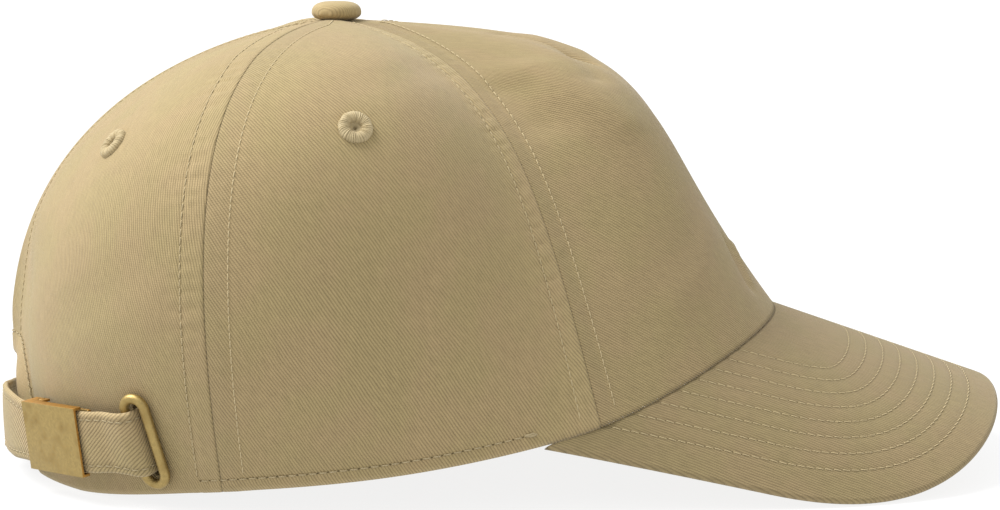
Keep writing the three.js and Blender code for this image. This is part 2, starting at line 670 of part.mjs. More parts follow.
// The slot ring: round wire along a stadium.
function ringGeometry() {
  const line = stadiumPoints(RING_LENGTH - 2 * RING_WIRE, RING_WIDTH - 2 * RING_WIRE, 7);
  const count = line.length;
  const points = [];
  line.forEach((p, i) => {
    const along = line[(i + 1) % count].clone().sub(line[(i + count - 1) % count]).normalize();
    const side = new THREE.Vector2(along.y, -along.x);
    for (let k = 0; k < TUBE_SIDES; k++) {
      const a = (2 * Math.PI * k) / TUBE_SIDES;
      const out = RING_WIRE * Math.cos(a);
      points.push(vector(p.x + side.x * out, p.y + side.y * out, RING_WIRE * Math.sin(a)));
    }
  });
  const index = [];
  for (let i = 0; i < count; i++)
    for (let k = 0; k < TUBE_SIDES; k++) {
      const at = (row, side) => (row % count) * TUBE_SIDES + (side % TUBE_SIDES);
      index.push(at(i, k), at(i, k + 1), at(i + 1, k), at(i + 1, k), at(i, k + 1), at(i + 1, k + 1));
    }
  return facingOut(points, index).applyMatrix4(ringFrame(RING_WIRE + GAP));
}

// The slot that the ring frames, cut through the panel and the sweatband.
function slotCutter() {
  const inner = stadiumPoints(RING_LENGTH - 4 * RING_WIRE, RING_WIDTH - 4 * RING_WIRE + GAP, 8);
  const depth = 30;
  const geometry = new THREE.ExtrudeGeometry(new THREE.Shape(inner), { depth, bevelEnabled: false });
  return geometry.translate(0, 0, -depth / 2).applyMatrix4(ringFrame(0));
}

const buckleStand = STRAP_ROUTE.find(({ place }) => place === "buckle").stand;
const strapHalfInBuckle = (STRAP_WIDTH - STRAP_PINCH) / 2;

// Heights of the buckle's layers over the panel's face at the buckle's middle.
function buckleLevels() {
  const base = 1.5 * GAP + buckleStand * strapHalfInBuckle;
  const strap = base + 2 * BUCKLE_PIN + GAP + STRAP_THICKNESS / 2;
  const cover = strap + STRAP_THICKNESS / 2 + 2 * GAP;
  return { base, pin: base + BUCKLE_PIN, strap, cover };
}

// The buckle lies along the strap, which climbs a little towards the ring and stands more upright than the face.
function buckleFrame() {
  const reach = (BUCKLE_LENGTH / 2) * degreesPerLength(BUCKLE_ANGLE);
  const height = (phi) => tableValue(STRAP_HEIGHTS, "height", phi) * STRAP_WIDTH;
  const frame = faceFrame(BUCKLE_ANGLE, shareAtHeight(BUCKLE_ANGLE, height(BUCKLE_ANGLE)), 0, 0);
  const flat = frame.clone().invert();
  const [front, rear] = [BUCKLE_ANGLE - reach, BUCKLE_ANGLE + reach].map((phi) =>
    facePoint(phi, height(phi), 0).applyMatrix4(flat),
  );
  const tilt = Math.atan2(front.y - rear.y, front.x - rear.x);
  const { strap } = buckleLevels();
  frame.multiply(new THREE.Matrix4().makeTranslation(0, (front.y + rear.y) / 4, strap));
  frame.multiply(new THREE.Matrix4().makeRotationZ(tilt));
  frame.multiply(new THREE.Matrix4().makeRotationX(-Math.atan(buckleStand)));
  return frame.multiply(new THREE.Matrix4().makeTranslation(0, 0, -strap));
}

function boxBetween(low, high) {
  const size = high.clone().sub(low);
  const middle = low.clone().add(high).multiplyScalar(0.5);
  return new THREE.BoxGeometry(size.x, size.y, size.z).translate(middle.x, middle.y, middle.z);
}

const buckleInside = strapHalfInBuckle + 2 * GAP;

// Buckle cover: a folded plate over the strap, with side walls and a deeper ear round the pin at its rear end.
function buckleCoverGeometry() {
  const { cover, pin } = buckleLevels();
  const half = BUCKLE_LENGTH / 2;
  const outside = buckleInside + BUCKLE_SHEET;
  const top = cover + BUCKLE_SHEET;
  const plate = boxBetween(vector(-half, -outside, cover), vector(half, outside, top));
  const parts = [plate];
  for (const side of [-1, 1]) {
    const [low, high] = side > 0 ? [buckleInside, outside] : [-outside, -buckleInside];
    parts.push(boxBetween(vector(-half, low, top - BUCKLE_FLANGE), vector(half, high, top)));
    parts.push(boxBetween(vector(-half, low, pin - 1.2 * BUCKLE_PIN), vector(-half + BUCKLE_EAR + 1, high, top)));
  }
  const hole = pinCylinder(BUCKLE_PIN + 0.5 * GAP, 3 * STRAP_WIDTH);
  return cutAway(joined(...parts), hole).applyMatrix4(buckleFrame());
}

function pinCylinder(radius, length) {
  const geometry = new THREE.CylinderGeometry(radius, radius, length, 16);
  return geometry.translate(-BUCKLE_LENGTH / 2 + BUCKLE_PIN_INSET, 0, buckleLevels().pin);
}

const bucklePinGeometry = () =>
  pinCylinder(BUCKLE_PIN, 2 * (buckleInside + BUCKLE_SHEET)).applyMatrix4(buckleFrame());

// Buckle base: the plate behind the strap, with a lip that turns out past the cover's front end.
function buckleBaseGeometry() {
  const { base } = buckleLevels();
  const half = BUCKLE_LENGTH / 2;
  const start = -half + BUCKLE_PIN_INSET + BUCKLE_PIN + GAP;
  const width = strapHalfInBuckle;
  const top = base + BUCKLE_SHEET;
  const plate = boxBetween(vector(start, -width, base), vector(half + 1, width, top));
  const lip = boxBetween(vector(half + 1 - BUCKLE_SHEET, -width, base), vector(half + 1, width, top + 0.4));
  return joined(plate, lip).applyMatrix4(buckleFrame());
}

const PAINT = {
  cloth: { color: "#bfa878", roughness: 0.92, metalness: 0 },
  band: { color: "#b59f72", roughness: 0.95, metalness: 0 },
  thread: { color: "#cbb382", roughness: 0.8, metalness: 0 },
  brass: { color: "#a8935c", roughness: 0.42, metalness: 0.9 },
};

function piece(name, geometry, paint) {
  const mesh = new THREE.Mesh(geometry, new THREE.MeshStandardMaterial(PAINT[paint]));
  mesh.name = name;
  return mesh;
}

// The crown's five panels, and the eyelets of the four that have one.
function crownPieces() {
  const arch = archCutter();
  const slot = slotCutter();
  const cutters = { side_panel: [], back_panel: [arch] };
  const spans = { side_panel: [FRONT_SEAM, REAR_SEAM, 10], back_panel: [REAR_SEAM, 180, 13] };
  const pieces = [piece("front_panel", panelGeometry(-FRONT_SEAM, FRONT_SEAM, 24), "cloth")];
  for (const { panel, angle, up } of EYELETS)
    for (const [hand, side] of [["right", 1], ["left", -1]]) {
      const [from, to, steps] = spans[panel];
      const [low, high] = side > 0 ? [from, to] : [-to, -from];
      const cuts = [...cutters[panel], eyeletCutter(side * angle, up)];
      if (panel === "back_panel" && side > 0) cuts.push(slot);
      pieces.push(piece(`${panel}_${hand}`, cutAway(panelGeometry(low, high, steps), ...cuts), "cloth"));
      pieces.push(piece(`${panel}_eyelet_${hand}`, eyeletGeometry(side * angle, up), "thread"));
    }
  return pieces;
}

const cap = new THREE.Group();
cap.add(
  ...crownPieces(),
  piece("top_button", buttonGeometry(), "cloth"),
  piece("peak", peakGeometry(), "cloth"),
  piece("sweatband", cutAway(sweatbandGeometry(), slotCutter()), "band"),
  piece("strap", strapGeometry(), "cloth"),
  piece("strap_ring", ringGeometry(), "brass"),
  piece("buckle_cover", buckleCoverGeometry(), "brass"),
  piece("buckle_base", buckleBaseGeometry(), "brass"),
  piece("buckle_pin", bucklePinGeometry(), "brass"),
);

// Sets the cap down with its base on z = 0 and its plan centred on the origin.
const box = new THREE.Box3().setFromObject(cap, true);
const centre = box.getCenter(vector(0, 0, 0));
cap.position.set(-centre.x, -centre.y, -box.min.z);

export default cap;
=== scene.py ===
import math
from collections import namedtuple

import bmesh
import bpy
import numpy as np
from bpy.props import FloatProperty, FloatVectorProperty, IntProperty, PointerProperty
from mathutils import Matrix, Vector


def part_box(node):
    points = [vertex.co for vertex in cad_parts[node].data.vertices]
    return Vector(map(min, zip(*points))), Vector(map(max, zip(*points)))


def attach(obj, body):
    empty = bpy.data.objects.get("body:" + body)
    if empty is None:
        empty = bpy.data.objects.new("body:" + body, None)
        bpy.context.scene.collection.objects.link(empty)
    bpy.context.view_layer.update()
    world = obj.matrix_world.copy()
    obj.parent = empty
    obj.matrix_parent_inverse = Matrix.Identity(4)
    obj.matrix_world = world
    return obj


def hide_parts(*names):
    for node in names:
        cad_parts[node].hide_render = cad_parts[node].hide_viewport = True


bl_info = {
    "name": "Five Panel Cap",
    "version": (1, 0, 0),
    "blender": (4, 5, 0),
    "location": "3D View > Sidebar > Cap",
    "description": "Dresses a five panel cap in sewn twill, embroidery and antiqued brass",
    "category": "Object",
}

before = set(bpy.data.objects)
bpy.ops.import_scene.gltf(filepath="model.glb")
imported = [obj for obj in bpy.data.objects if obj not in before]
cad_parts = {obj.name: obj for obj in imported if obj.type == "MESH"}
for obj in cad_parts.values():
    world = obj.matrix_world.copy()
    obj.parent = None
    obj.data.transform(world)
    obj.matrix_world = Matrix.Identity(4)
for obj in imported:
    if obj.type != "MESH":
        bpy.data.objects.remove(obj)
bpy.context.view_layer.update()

# Sizes in millimetres, as in the solids.
CLOTH = 1.4
GAP = 0.3
JOIN_GAP = 0.45
RIM_HALF_LENGTH = 104.5
RIM_HALF_WIDTH = 83.0
CROWN_HEIGHT = 121.4
APEX_BACK = 17.5
FRONT_SEAM = 59.3
REAR_SEAM = 114.0
SEAM_RIB = 6.0
BACK_RIDGE = 1.8
BACK_RIDGE_WIDTH = 9.0
PINCH_DEPTH = 4.0
PINCH_PLACE = 28.0
PINCH_WIDE = 17.0
PINCH_LIP = 7.5
PINCH_RIDGE = 1.1
APEX_HOLE = 3.0
ARCH_HALF_WIDTH = 30.0
ARCH_HEIGHT = 28.0
BAND_HEIGHT = 28.0
BAND_CLOTH = 1.2
BAND_LIFT = 0.6
BAND_STOP = 1.5
BAND_GAP = 0.6
PEAK_SLOPE = 19.0
PEAK_BEND = 100.0
PEAK_CURL = 0.405
PEAK_LENGTH = 65.2
PEAK_HALF_WIDTH = 84.4
PEAK_THICKNESS = 2.6
PEAK_TUCK = 0.8
PEAK_END = 68.0
PEAK_HEIGHT = 41.3
BUTTON_RADIUS = 6.85
BUTTON_HEIGHT = 4.5
BUTTON_WAIST = 1.4
BUTTON_UNDER = 2.2
EYELET_RADIUS = 4.7
EYELET_HOLE = 1.3
EYELET_CUT = 2.0
STRAP_WIDTH = 17.6
STRAP_THICKNESS = 1.6
STRAP_PINCH = 1.8
STRAP_SEWN = 14.0
STRAP_TAIL = 22.0
STRAP_EASE = 0.6
RING_ANGLE = 124.5
RING_LENGTH = 26.4
RING_WIDTH = 8.6
RING_WIRE = 1.3
RING_TILT = 8.0
BUCKLE_ANGLE = 140.3
BUCKLE_LENGTH = 23.0
BUCKLE_PIN = 0.8

# The crown's meridians by their angle from the front, in degrees:
# lean at the rim, lower handle, upper handle and droop at the apex.
MERIDIANS = {
    "angle": (0, 30, 59, 90, 115, 150, 180),
    "lean": (-37, -26, -19.6, 6, 16.8, 17.8, 14.4),
    "rise": (0.94, 0.938, 0.84, 0.95, 0.937, 0.7, 0.605),
    "reach": (0.82, 0.828, 0.565, 0.698, 0.738, 0.68, 0.657),
    "droop": (4, 3.2, 6, 1.8, 0.8, 5.4, 5.2),
}
RIM_HEIGHTS = {"angle": (90, 115, 142, 180), "height": (0.267, 0.132, 0, 0)}

# Soft dents and creases: place on the crown, size as shares of its height, and how far each stands out.
Fold = namedtuple("Fold", "angle up wide tall turn rise")
FOLDS = (
    Fold(3, 0.66, 0.16, 0.075, 0, -0.02),
    Fold(27, 0.66, 0.05, 0.13, 20, 0.008),
    Fold(10, 0.08, 0.055, 0.09, 24, -0.009),
    Fold(-12, 0.11, 0.06, 0.1, -20, -0.008),
    Fold(74, 0.3, 0.2, 0.3, 15, 0.007),
    Fold(-84, 0.34, 0.22, 0.28, -10, -0.008),
)

# Sharper creases of the worn cloth: places along each as angle and share of the height,
# with how far it stands out and its half width in millimetres.
Crease = namedtuple("Crease", "path rise wide")
CREASES = (
    Crease(((2, 0.79), (7, 0.72), (8, 0.65), (6, 0.61)), 1.0, 4.6),
    Crease(((-9, 0.78), (-8, 0.71), (-7, 0.635)), -2.7, 5.5),
    Crease(((-24, 0.73), (-23, 0.68), (-21, 0.64)), 0.7, 6.0),
    Crease(((22, 0.71), (26, 0.64), (30, 0.56)), -1.0, 5.5),
    Crease(((40, 0.62), (39, 0.52), (34, 0.41)), 1.1, 8.0),
    Crease(((50, 0.56), (49, 0.46)), -0.9, 7.0),
    Crease(((4.5, 0.105), (7.5, 0.072), (9.5, 0.05)), 0.75, 2.0),
    Crease(((9, 0.115), (12, 0.08), (13, 0.055)), -0.8, 2.4),
    Crease(((20, 0.16), (30, 0.11), (40, 0.09)), 0.5, 5.0),
    Crease(((70, 0.12), (84, 0.1), (96, 0.12)), 0.45, 6.0),
    Crease(((76, 0.62), (90, 0.55)), -0.5, 8.0),
    Crease(((124, 0.66), (136, 0.72), (150, 0.7)), 0.6, 9.0),
    Crease(((125, 0.24), (140, 0.2)), -0.5, 7.0),
)

# The peak's flat outline: places as shares of its length and half width.
OUTLINE_TIP = (1, 0)
OUTLINE_TIP_HANDLE = (1, 0.687)
OUTLINE_HIP_HANDLE = (0.69, 0.938)
OUTLINE_HIP = (0.083, 1)
OUTLINE_SIDE_HANDLE = (-0.34, 1.043)

STRAP_HEIGHTS = {"angle": (115, 132, 150, 166, 182, 220), "height": (0.83, 0.98, 0.97, 0.87, 0.7, 0.68)}
Waypoint = namedtuple("Waypoint", "place share level lift stand")
STRAP_ROUTE = (
    Waypoint("leg", 1, "inside", 0, 0),
    Waypoint("leg", 0.5, "inside", 0, 0),
    Waypoint("leg", 0.08, "inside", 0, 0),
    Waypoint("arch", 0.72, "inside", 0.2, 0),
    Waypoint("arch", 0.3, "face", -0.8, 0.08),
    Waypoint("arch", -0.25, "face", 1.3, 0.16),
    Waypoint("arch", -0.8, "buckle", -0.1, 0.14),
    Waypoint("buckle", 1, "buckle", 0.5, 0.12),
    Waypoint("buckle", 0.6, "buckle", 0.3, 0.12),
    Waypoint("buckle", 0, "buckle", 0, 0.12),
    Waypoint("buckle", -1, "buckle", 0.5, 0.12),
    Waypoint("ring", 3, "buckle", 0, 0.08),
    Waypoint("ring", 1.83, "limb", -0.1, 0.02),
    Waypoint("ring", 1, "limb", 0, 0),
    Waypoint("ring", 0.37, "limb", -0.5, 0),
    Waypoint("ring", 0.13, "limb", -1.5, 0),
    Waypoint("ring", 0, "face", 0, 0),
    Waypoint("ring", -0.07, "inside", 0.67, 0),
    Waypoint("ring", -0.67, "inside", -0.56, 0),
    Waypoint("tail", 0.27, "inside", -0.25, 0),
    Waypoint("tail", 1, "inside", -0.19, 0),
)

EYELETS = {
    "side_panel_eyelet_right": (94, 0.432),
    "side_panel_eyelet_left": (-94, 0.432),
    "back_panel_eyelet_right": (137.3, 0.486),
    "back_panel_eyelet_left": (-137.3, 0.486),
}

# The studio: the camera's place, what it looks at, and the way the key light shines.
CAMERA_PLACE = (27.68, -692.92, 154.66)
CAMERA_TARGET = (27.667, 0, 55.365)
CAMERA_LENS = 89.96
KEY_WAY = (0.57, -0.03, -0.82)
KEY_SOFTNESS = 34

BUTTON_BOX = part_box("top_button")
SHIFT = np.array(
    [
        (BUTTON_BOX[0].x + BUTTON_BOX[1].x) * 500 + APEX_BACK,
        (BUTTON_BOX[0].y + BUTTON_BOX[1].y) * 500,
        BUTTON_BOX[0].z * 1000 - (CROWN_HEIGHT - CLOTH),
    ]
)


def smooth_step(x):
    s = np.clip(x, 0, 1)
    return s * s * (3 - 2 * s)


def eased(rows, column, angle):
    """Smooth value of a table's column at an angle, level at both ends of the table."""
    at, value = np.array(rows["angle"], float), np.array(rows[column], float)
    slope = np.zeros(len(at))
    slope[1:-1] = (value[2:] - value[:-2]) / (at[2:] - at[:-2])
    angle = np.clip(angle, at[0], at[-1])
    i = np.clip(np.searchsorted(at, angle, side="right") - 1, 0, len(at) - 2)
    span = at[i + 1] - at[i]
    s = (angle - at[i]) / span
    rise = value[i + 1] - value[i]
    a = slope[i] * span - rise
    b = -slope[i + 1] * span + rise
    return value[i] + s * rise + s * (1 - s) * (a * (1 - s) + b * s)


def folded(phi):
    turn = np.mod(phi, 360)
    return np.where(turn > 180, 360 - turn, turn)


def length(v):
    return np.sqrt((v * v).sum(-1))


def unit(v):
    return v / np.maximum(length(v), 1e-12)[..., None]


def bell(x, width):
    return np.exp(-((x / width) ** 2))


def walked_along(line):
    """Length walked from a line's start to each of its points."""
    return np.concatenate([[0], np.cumsum(length(np.diff(line, axis=0)))])


def sampled(where, walked, line):
    """A line's values at lengths walked along it."""
    return np.stack([np.interp(where, walked, line[:, k]) for k in range(line.shape[1])], -1)


def peak_drop(y):
    r = np.asarray(y, float) / PEAK_BEND
    return PEAK_BEND * (r * r / 2 + PEAK_CURL * r**4)


def peak_height(x, y):
    slope = math.radians(PEAK_SLOPE)
    return PEAK_HEIGHT - math.tan(slope) * (x - RIM_HALF_LENGTH) - peak_drop(y) / math.cos(slope)


def rim_height(x, y, angle):
    def at(phi):
        a = math.radians(phi)
        return float(peak_height(RIM_HALF_LENGTH * math.cos(a), RIM_HALF_WIDTH * math.sin(a))) + JOIN_GAP

    rows = {
        "angle": (PEAK_END - 10, PEAK_END) + RIM_HEIGHTS["angle"],
        "height": (at(PEAK_END - 10), at(PEAK_END)) + tuple(h * PEAK_HEIGHT for h in RIM_HEIGHTS["height"]),
    }
    behind = np.maximum(eased(rows, "height", angle), 0)
    return np.where(angle <= PEAK_END, peak_height(x, y) + JOIN_GAP, behind)


def rim_point(phi, inset=0.0):
    phi = np.asarray(phi, float)
    a = np.radians(phi)
    point = np.stack([RIM_HALF_LENGTH * np.cos(a), -RIM_HALF_WIDTH * np.sin(a)], -1)
    normal = unit(np.stack([np.cos(a) / RIM_HALF_LENGTH, -np.sin(a) / RIM_HALF_WIDTH], -1))
    point = point - normal * np.asarray(inset, float)[..., None]
    z = rim_height(point[..., 0], point[..., 1], folded(phi))
    return np.concatenate([point, z[..., None]], -1)


def plain_point(phi, t):
    """Point of the crown's plain face: phi in degrees from the front, t from the rim to the apex."""
    phi, t = np.broadcast_arrays(np.asarray(phi, float), np.asarray(t, float))
    angle = folded(phi)
    lean, droop = (np.radians(eased(MERIDIANS, c, angle)) for c in ("lean", "droop"))
    rise, reach = (eased(MERIDIANS, c, angle) for c in ("rise", "reach"))
    rim = rim_point(phi)
    apex = np.array([-APEX_BACK, 0, CROWN_HEIGHT])
    out = rim - apex
    out[..., 2] = 0
    distance = length(out)
    out = unit(out)
    up = np.array([0, 0, 1.0])
    height = (apex[2] - rim[..., 2]) * rise
    lower = rim + out * (np.sin(lean) * height)[..., None] + up * (np.cos(lean) * height)[..., None]
    upper = apex + out * (np.cos(droop) * reach * distance)[..., None]
    upper = upper - up * (np.sin(droop) * reach * distance)[..., None]
    t = t[..., None]
    return (1 - t) ** 3 * rim + 3 * (1 - t) ** 2 * t * lower + 3 * (1 - t) * t * t * upper + t**3 * apex


def crown_normal(phi, t):
    phi, t = np.broadcast_arrays(np.asarray(phi, float), np.asarray(t, float))
    around = plain_point(phi + 0.2, t) - plain_point(phi - 0.2, t)
    upward = plain_point(phi, np.minimum(t + 0.002, 0.995)) - plain_point(phi, np.maximum(t, 0.002) - 0.002)
    return -unit(np.cross(around, upward))


def length_per_degree(point):
    return math.radians(1) * np.hypot(point[..., 0] + APEX_BACK, point[..., 1])


def fold_rise(phi, t, point):
    """How far dents, creases and the centre back ridge move the face outwards."""
    metre = length_per_degree(point)
    total = np.zeros(metre.shape)
    for fold in FOLDS:
        turn = math.radians(fold.turn)
        around = (np.mod(phi - fold.angle + 540, 360) - 180) * metre
        upward = (t - fold.up) * CROWN_HEIGHT * 1.5
        u = (around * math.cos(turn) + upward * math.sin(turn)) / (fold.wide * CROWN_HEIGHT)
        v = (upward * math.cos(turn) - around * math.sin(turn)) / (fold.tall * CROWN_HEIGHT)
        total = total + fold.rise * CROWN_HEIGHT * np.exp(-u * u - v * v)
    turned = np.mod(phi + 180, 360) - 180
    for crease in CREASES:
        path = np.array(crease.path, float)
        nearest = np.full(metre.shape, 1e9)
        for a, b in zip(path[:-1], path[1:]):
            du, dv = (b[0] - a[0]) * metre, (b[1] - a[1]) * CROWN_HEIGHT * 1.5
            pu, pv = (turned - a[0]) * metre, (t - a[1]) * CROWN_HEIGHT * 1.5
            s = np.clip((pu * du + pv * dv) / (du * du + dv * dv), 0, 1)
            nearest = np.minimum(nearest, np.hypot(pu - du * s, pv - dv * s))
        total = total + crease.rise * bell(nearest, crease.wide)
    back = (180 - folded(phi)) * metre
    ridge = BACK_RIDGE * np.exp(-back / BACK_RIDGE_WIDTH) * smooth_step((0.9 - t) / 0.5)
    drawn = 1.2 + 1.5 * (1 - np.exp(-back / 5))
    ridge = ridge - drawn * bell(back, 24) * smooth_step((0.5 - t) / 0.3)
    return (total + ridge) * smooth_step(t / 0.05)


def back_pinch(phi, t):
    """How far the cloth draws in beside the arch's right leg, and stands out above the arch."""
    phi, t = np.broadcast_arrays(np.asarray(phi, float), np.asarray(t, float))
    point = plain_point(phi, t)
    metre = length_per_degree(point)
    back = (180 - folded(phi)) * metre
    right = smooth_step(((180 - np.mod(phi, 360)) * metre + 8) / 16)
    shoulder = PINCH_DEPTH * right * bell(back - PINCH_PLACE, PINCH_WIDE)
    beside = (1 - np.exp(-back / 3)) * bell(back, 18)
    ridge = PINCH_RIDGE * np.exp(-back / 7) * smooth_step((t - 0.13) / 0.09) * smooth_step((0.5 - t) / 0.25)
    y, z = point[..., 1] / ARCH_HALF_WIDTH, point[..., 2] / ARCH_HEIGHT
    field = np.hypot(y, z)
    from_arch = (field - 1) * field / np.maximum(np.hypot(y / ARCH_HALF_WIDTH, z / ARCH_HEIGHT), 1e-6)
    lip = smooth_step(from_arch / PINCH_LIP)
    return (ridge - (shoulder + beside) * lip * smooth_step((0.38 - t) / 0.14)) * smooth_step(t / 0.05)


def crown_point(phi, t, off=0.0):
    phi, t = np.broadcast_arrays(np.asarray(phi, float), np.asarray(t, float))
    point = plain_point(phi, t)
    rise = fold_rise(phi, t, point) + off
    return point + crown_normal(phi, t) * np.broadcast_to(rise, phi.shape)[..., None]


def meridian_lengths(phi, steps=240):
    """Shares of the meridian and the length walked to each, for every angle."""
    t = np.linspace(0, 1, steps)
    line = plain_point(np.asarray(phi, float)[..., None], t)
    walked = np.concatenate(
        [np.zeros(line.shape[:-2] + (1,)), np.cumsum(length(np.diff(line, axis=-2)), -1)], -1
    )
    return t, walked


def share_at(phi, height):
    """Share of the meridian at a height along the face above the rim."""
    phi, height = np.broadcast_arrays(np.asarray(phi, float), np.asarray(height, float))
    t, walked = meridian_lengths(phi.ravel())
    share = [np.interp(h, w, t) for h, w in zip(height.ravel(), walked)]
    return np.array(share).reshape(phi.shape)


def face_point(phi, height, off):
    return crown_point(phi, share_at(phi, height), off)


def degrees_per_length(phi):
    a = np.linspace(phi, phi + 1, 41)
    return 1 / length(np.diff(rim_point(a), axis=0)).sum()


def rim_walk(phi):
    """Length along the rim from the front to each angle."""
    a = np.linspace(-200, 260, 2301)
    walked = walked_along(rim_point(a))
    return np.interp(phi, a, walked - np.interp(0, a, walked))


def face_frame(phi, t, off=0.0, tilt=0.0):
    """Matrix on the crown's face, in millimetres: x round the cap, y up the meridian, z outwards."""
    z = crown_normal(phi, t)
    up = plain_point(phi, min(t + 0.004, 1)) - plain_point(phi, max(t - 0.004, 0))
    x = unit(np.cross(up, z))
    y = np.cross(z, x)
    matrix = np.eye(4)
    c, s = math.cos(math.radians(tilt)), math.sin(math.radians(tilt))
    matrix[:3, 0] = x * c + y * s
    matrix[:3, 1] = y * c - x * s
    matrix[:3, 2] = z
    matrix[:3, 3] = crown_point(phi, t, off)
    return matrix


def placed(points, matrix):
    return np.asarray(points, float) @ matrix[:3, :3].T + matrix[:3, 3]


# Meshes


def finish_piece(obj, replaced=(), material=None):
    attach(obj, "root")
    if replaced:
        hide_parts(*replaced)
    if material:
        obj.data.materials.clear()
        obj.data.materials.append(material)
    return obj


def make_object(name, points, faces, flat=None, smooth=True, layers=None):
    """A mesh object from points in millimetres and faces.

    flat gives each point's place in the cut cloth, in millimetres.
    """
    mesh = bpy.data.meshes.new(name)
    points = (np.asarray(points, float).reshape(-1, 3) + SHIFT) * 0.001
    faces = [list(map(int, f)) for f in faces]
    mesh.from_pydata(points.tolist(), [], faces)
    mesh.validate(clean_customdata=False)
    if flat is not None:
        uv = mesh.uv_layers.new(name="flat")
        corner = np.zeros(len(mesh.loops), dtype=np.int64)
        mesh.loops.foreach_get("vertex_index", corner)
        uv.data.foreach_set("uv", np.asarray(flat, float).reshape(-1, 2)[corner].ravel())
    for layer, values in (layers or {}).items():
        values = np.asarray(values, float).ravel()
        mesh.attributes.new(layer, "FLOAT", "POINT").data.foreach_set("value", values)
    mesh.polygons.foreach_set("use_smooth", [smooth] * len(mesh.polygons))
    mesh.update()
    obj = bpy.data.objects.new(name, mesh)
    bpy.context.scene.collection.objects.link(obj)
    return obj


def grid_faces(columns, rows, wrap=False, flip=False, start=0):
    c = np.arange(columns if wrap else columns - 1)
    r = np.arange(rows - 1)
    c, r = np.meshgrid(c, r, indexing="ij")
    d = (c + 1) % columns
    corners = [c * rows + r, d * rows + r, d * rows + r + 1, c * rows + r + 1]
    quads = np.stack(corners, -1).reshape(-1, 4) + start
    return quads[:, ::-1] if flip else quads


def shell_faces(columns, rows):
    """Faces of a closed shell whose outer grid comes first and inner grid second."""
    n = columns * rows
    outer = grid_faces(columns, rows)
    inner = grid_faces(columns, rows, flip=True, start=n)
    c = np.arange(columns - 1)
    r = np.arange(rows - 1)
    bottom = np.stack([c * rows, n + c * rows, n + (c + 1) * rows, (c + 1) * rows], -1)
    top = np.stack([c, c + 1], -1) * rows + rows - 1
    top = np.stack([top[:, 0], top[:, 1], n + top[:, 1], n + top[:, 0]], -1)
    last = (columns - 1) * rows
    left = np.stack([r, r + 1, n + r + 1, n + r], -1)
    right = np.stack([last + r, n + last + r, n + last + r + 1, last + r + 1], -1)
    return np.concatenate([outer, inner, bottom, top, left, right])


def stitches(line, normal, size, gap, radius, proud=0.2, sunk=0.35, slant=0.0, sides=6):
    """Points and faces of a row of thread stitches along a line on the cloth."""
    walked = walked_along(line)
    count = max(int(walked[-1] / (size + gap)), 1)
    pitch = walked[-1] / count
    begin = np.arange(count) * pitch + gap / 2
    end = begin + pitch - gap
    rings = np.array([0, 0.16, 0.5, 0.84, 1.0])
    lift = np.array([-sunk, proud * 0.7, proud, proud * 0.7, -sunk])
    thick = np.array([0.55, 0.95, 1.0, 0.95, 0.55]) * radius
    where = begin[:, None] + (end - begin)[:, None] * rings
    pos = sampled(where, walked, line)
    nor = unit(sampled(where, walked, normal))
    along = unit(pos[:, -1] - pos[:, 0])[:, None, :] + 0 * pos
    side = unit(np.cross(along, nor))
    centre = pos + nor * lift[:, None] + side * ((rings - 0.5) * slant)[:, None]
    turn = 2 * np.pi * np.arange(sides) / sides
    ring = side[..., None, :] * np.cos(turn)[:, None] + nor[..., None, :] * np.sin(turn)[:, None] * 0.8
    points = centre[..., None, :] + ring * thick[:, None, None]
    k = np.arange(sides)
    after = (k + 1) % sides
    low, high = (np.arange(len(rings) - 1)[:, None] + i for i in (0, 1))
    corners = [low * sides + k, low * sides + after, high * sides + after, high * sides + k]
    tube = np.stack(corners, -1).reshape(-1, 4)
    faces = (tube[None] + (np.arange(count) * len(rings) * sides)[:, None, None]).reshape(-1, 4)
    return points.reshape(-1, 3), faces


def painted_hole_shade_discs(line, normal, sewing, radius, proud=0.05):
    """Points and faces of small dark discs, painted shade at the holes where the thread goes into the cloth.
    """
    walked = walked_along(line)
    count = max(int(walked[-1] / (sewing["size"] + sewing["gap"])), 1)
    where = np.arange(count + 1) * walked[-1] / count
    pos = sampled(where, walked, line)
    nor = unit(sampled(where, walked, normal))
    along = unit(np.gradient(pos, axis=0))
    side = unit(np.cross(along, nor))
    sides = 8
    turn = 2 * np.pi * np.arange(sides) / sides
    ring = along[:, None] * np.cos(turn)[:, None] * 1.25 + side[:, None] * np.sin(turn)[:, None]
    points = pos[:, None] + ring * radius + nor[:, None] * proud
    faces = [list(range(i * sides, (i + 1) * sides)) for i in range(count + 1)]
    return points.reshape(-1, 3), faces


def join_parts(parts):
    """Several (points, faces) as one."""
    points, faces, start = [], [], 0
    for p, f in parts:
        points.append(p)
        faces.append(np.asarray(f) + start)
        start += len(p)
    return np.concatenate(points), np.concatenate(faces)


def cut_through(obj, cutters):
    """Cut closed shapes, given as points and faces in millimetres, out of a piece."""
    for points, faces in cutters:
        cutter = make_object("cutter", points, faces, smooth=False)
        cut = obj.modifiers.new("cut", "BOOLEAN")
        cut.operation, cut.solver, cut.object = "DIFFERENCE", "EXACT", cutter
        with bpy.context.temp_override(object=obj, active_object=obj):
            bpy.ops.object.modifier_apply(modifier="cut")
        bpy.data.meshes.remove(cutter.data)


def weld(edit):
    """Join the points of a mesh that lie in one place."""
    bmesh.ops.remove_doubles(edit, verts=edit.verts, dist=1e-6)


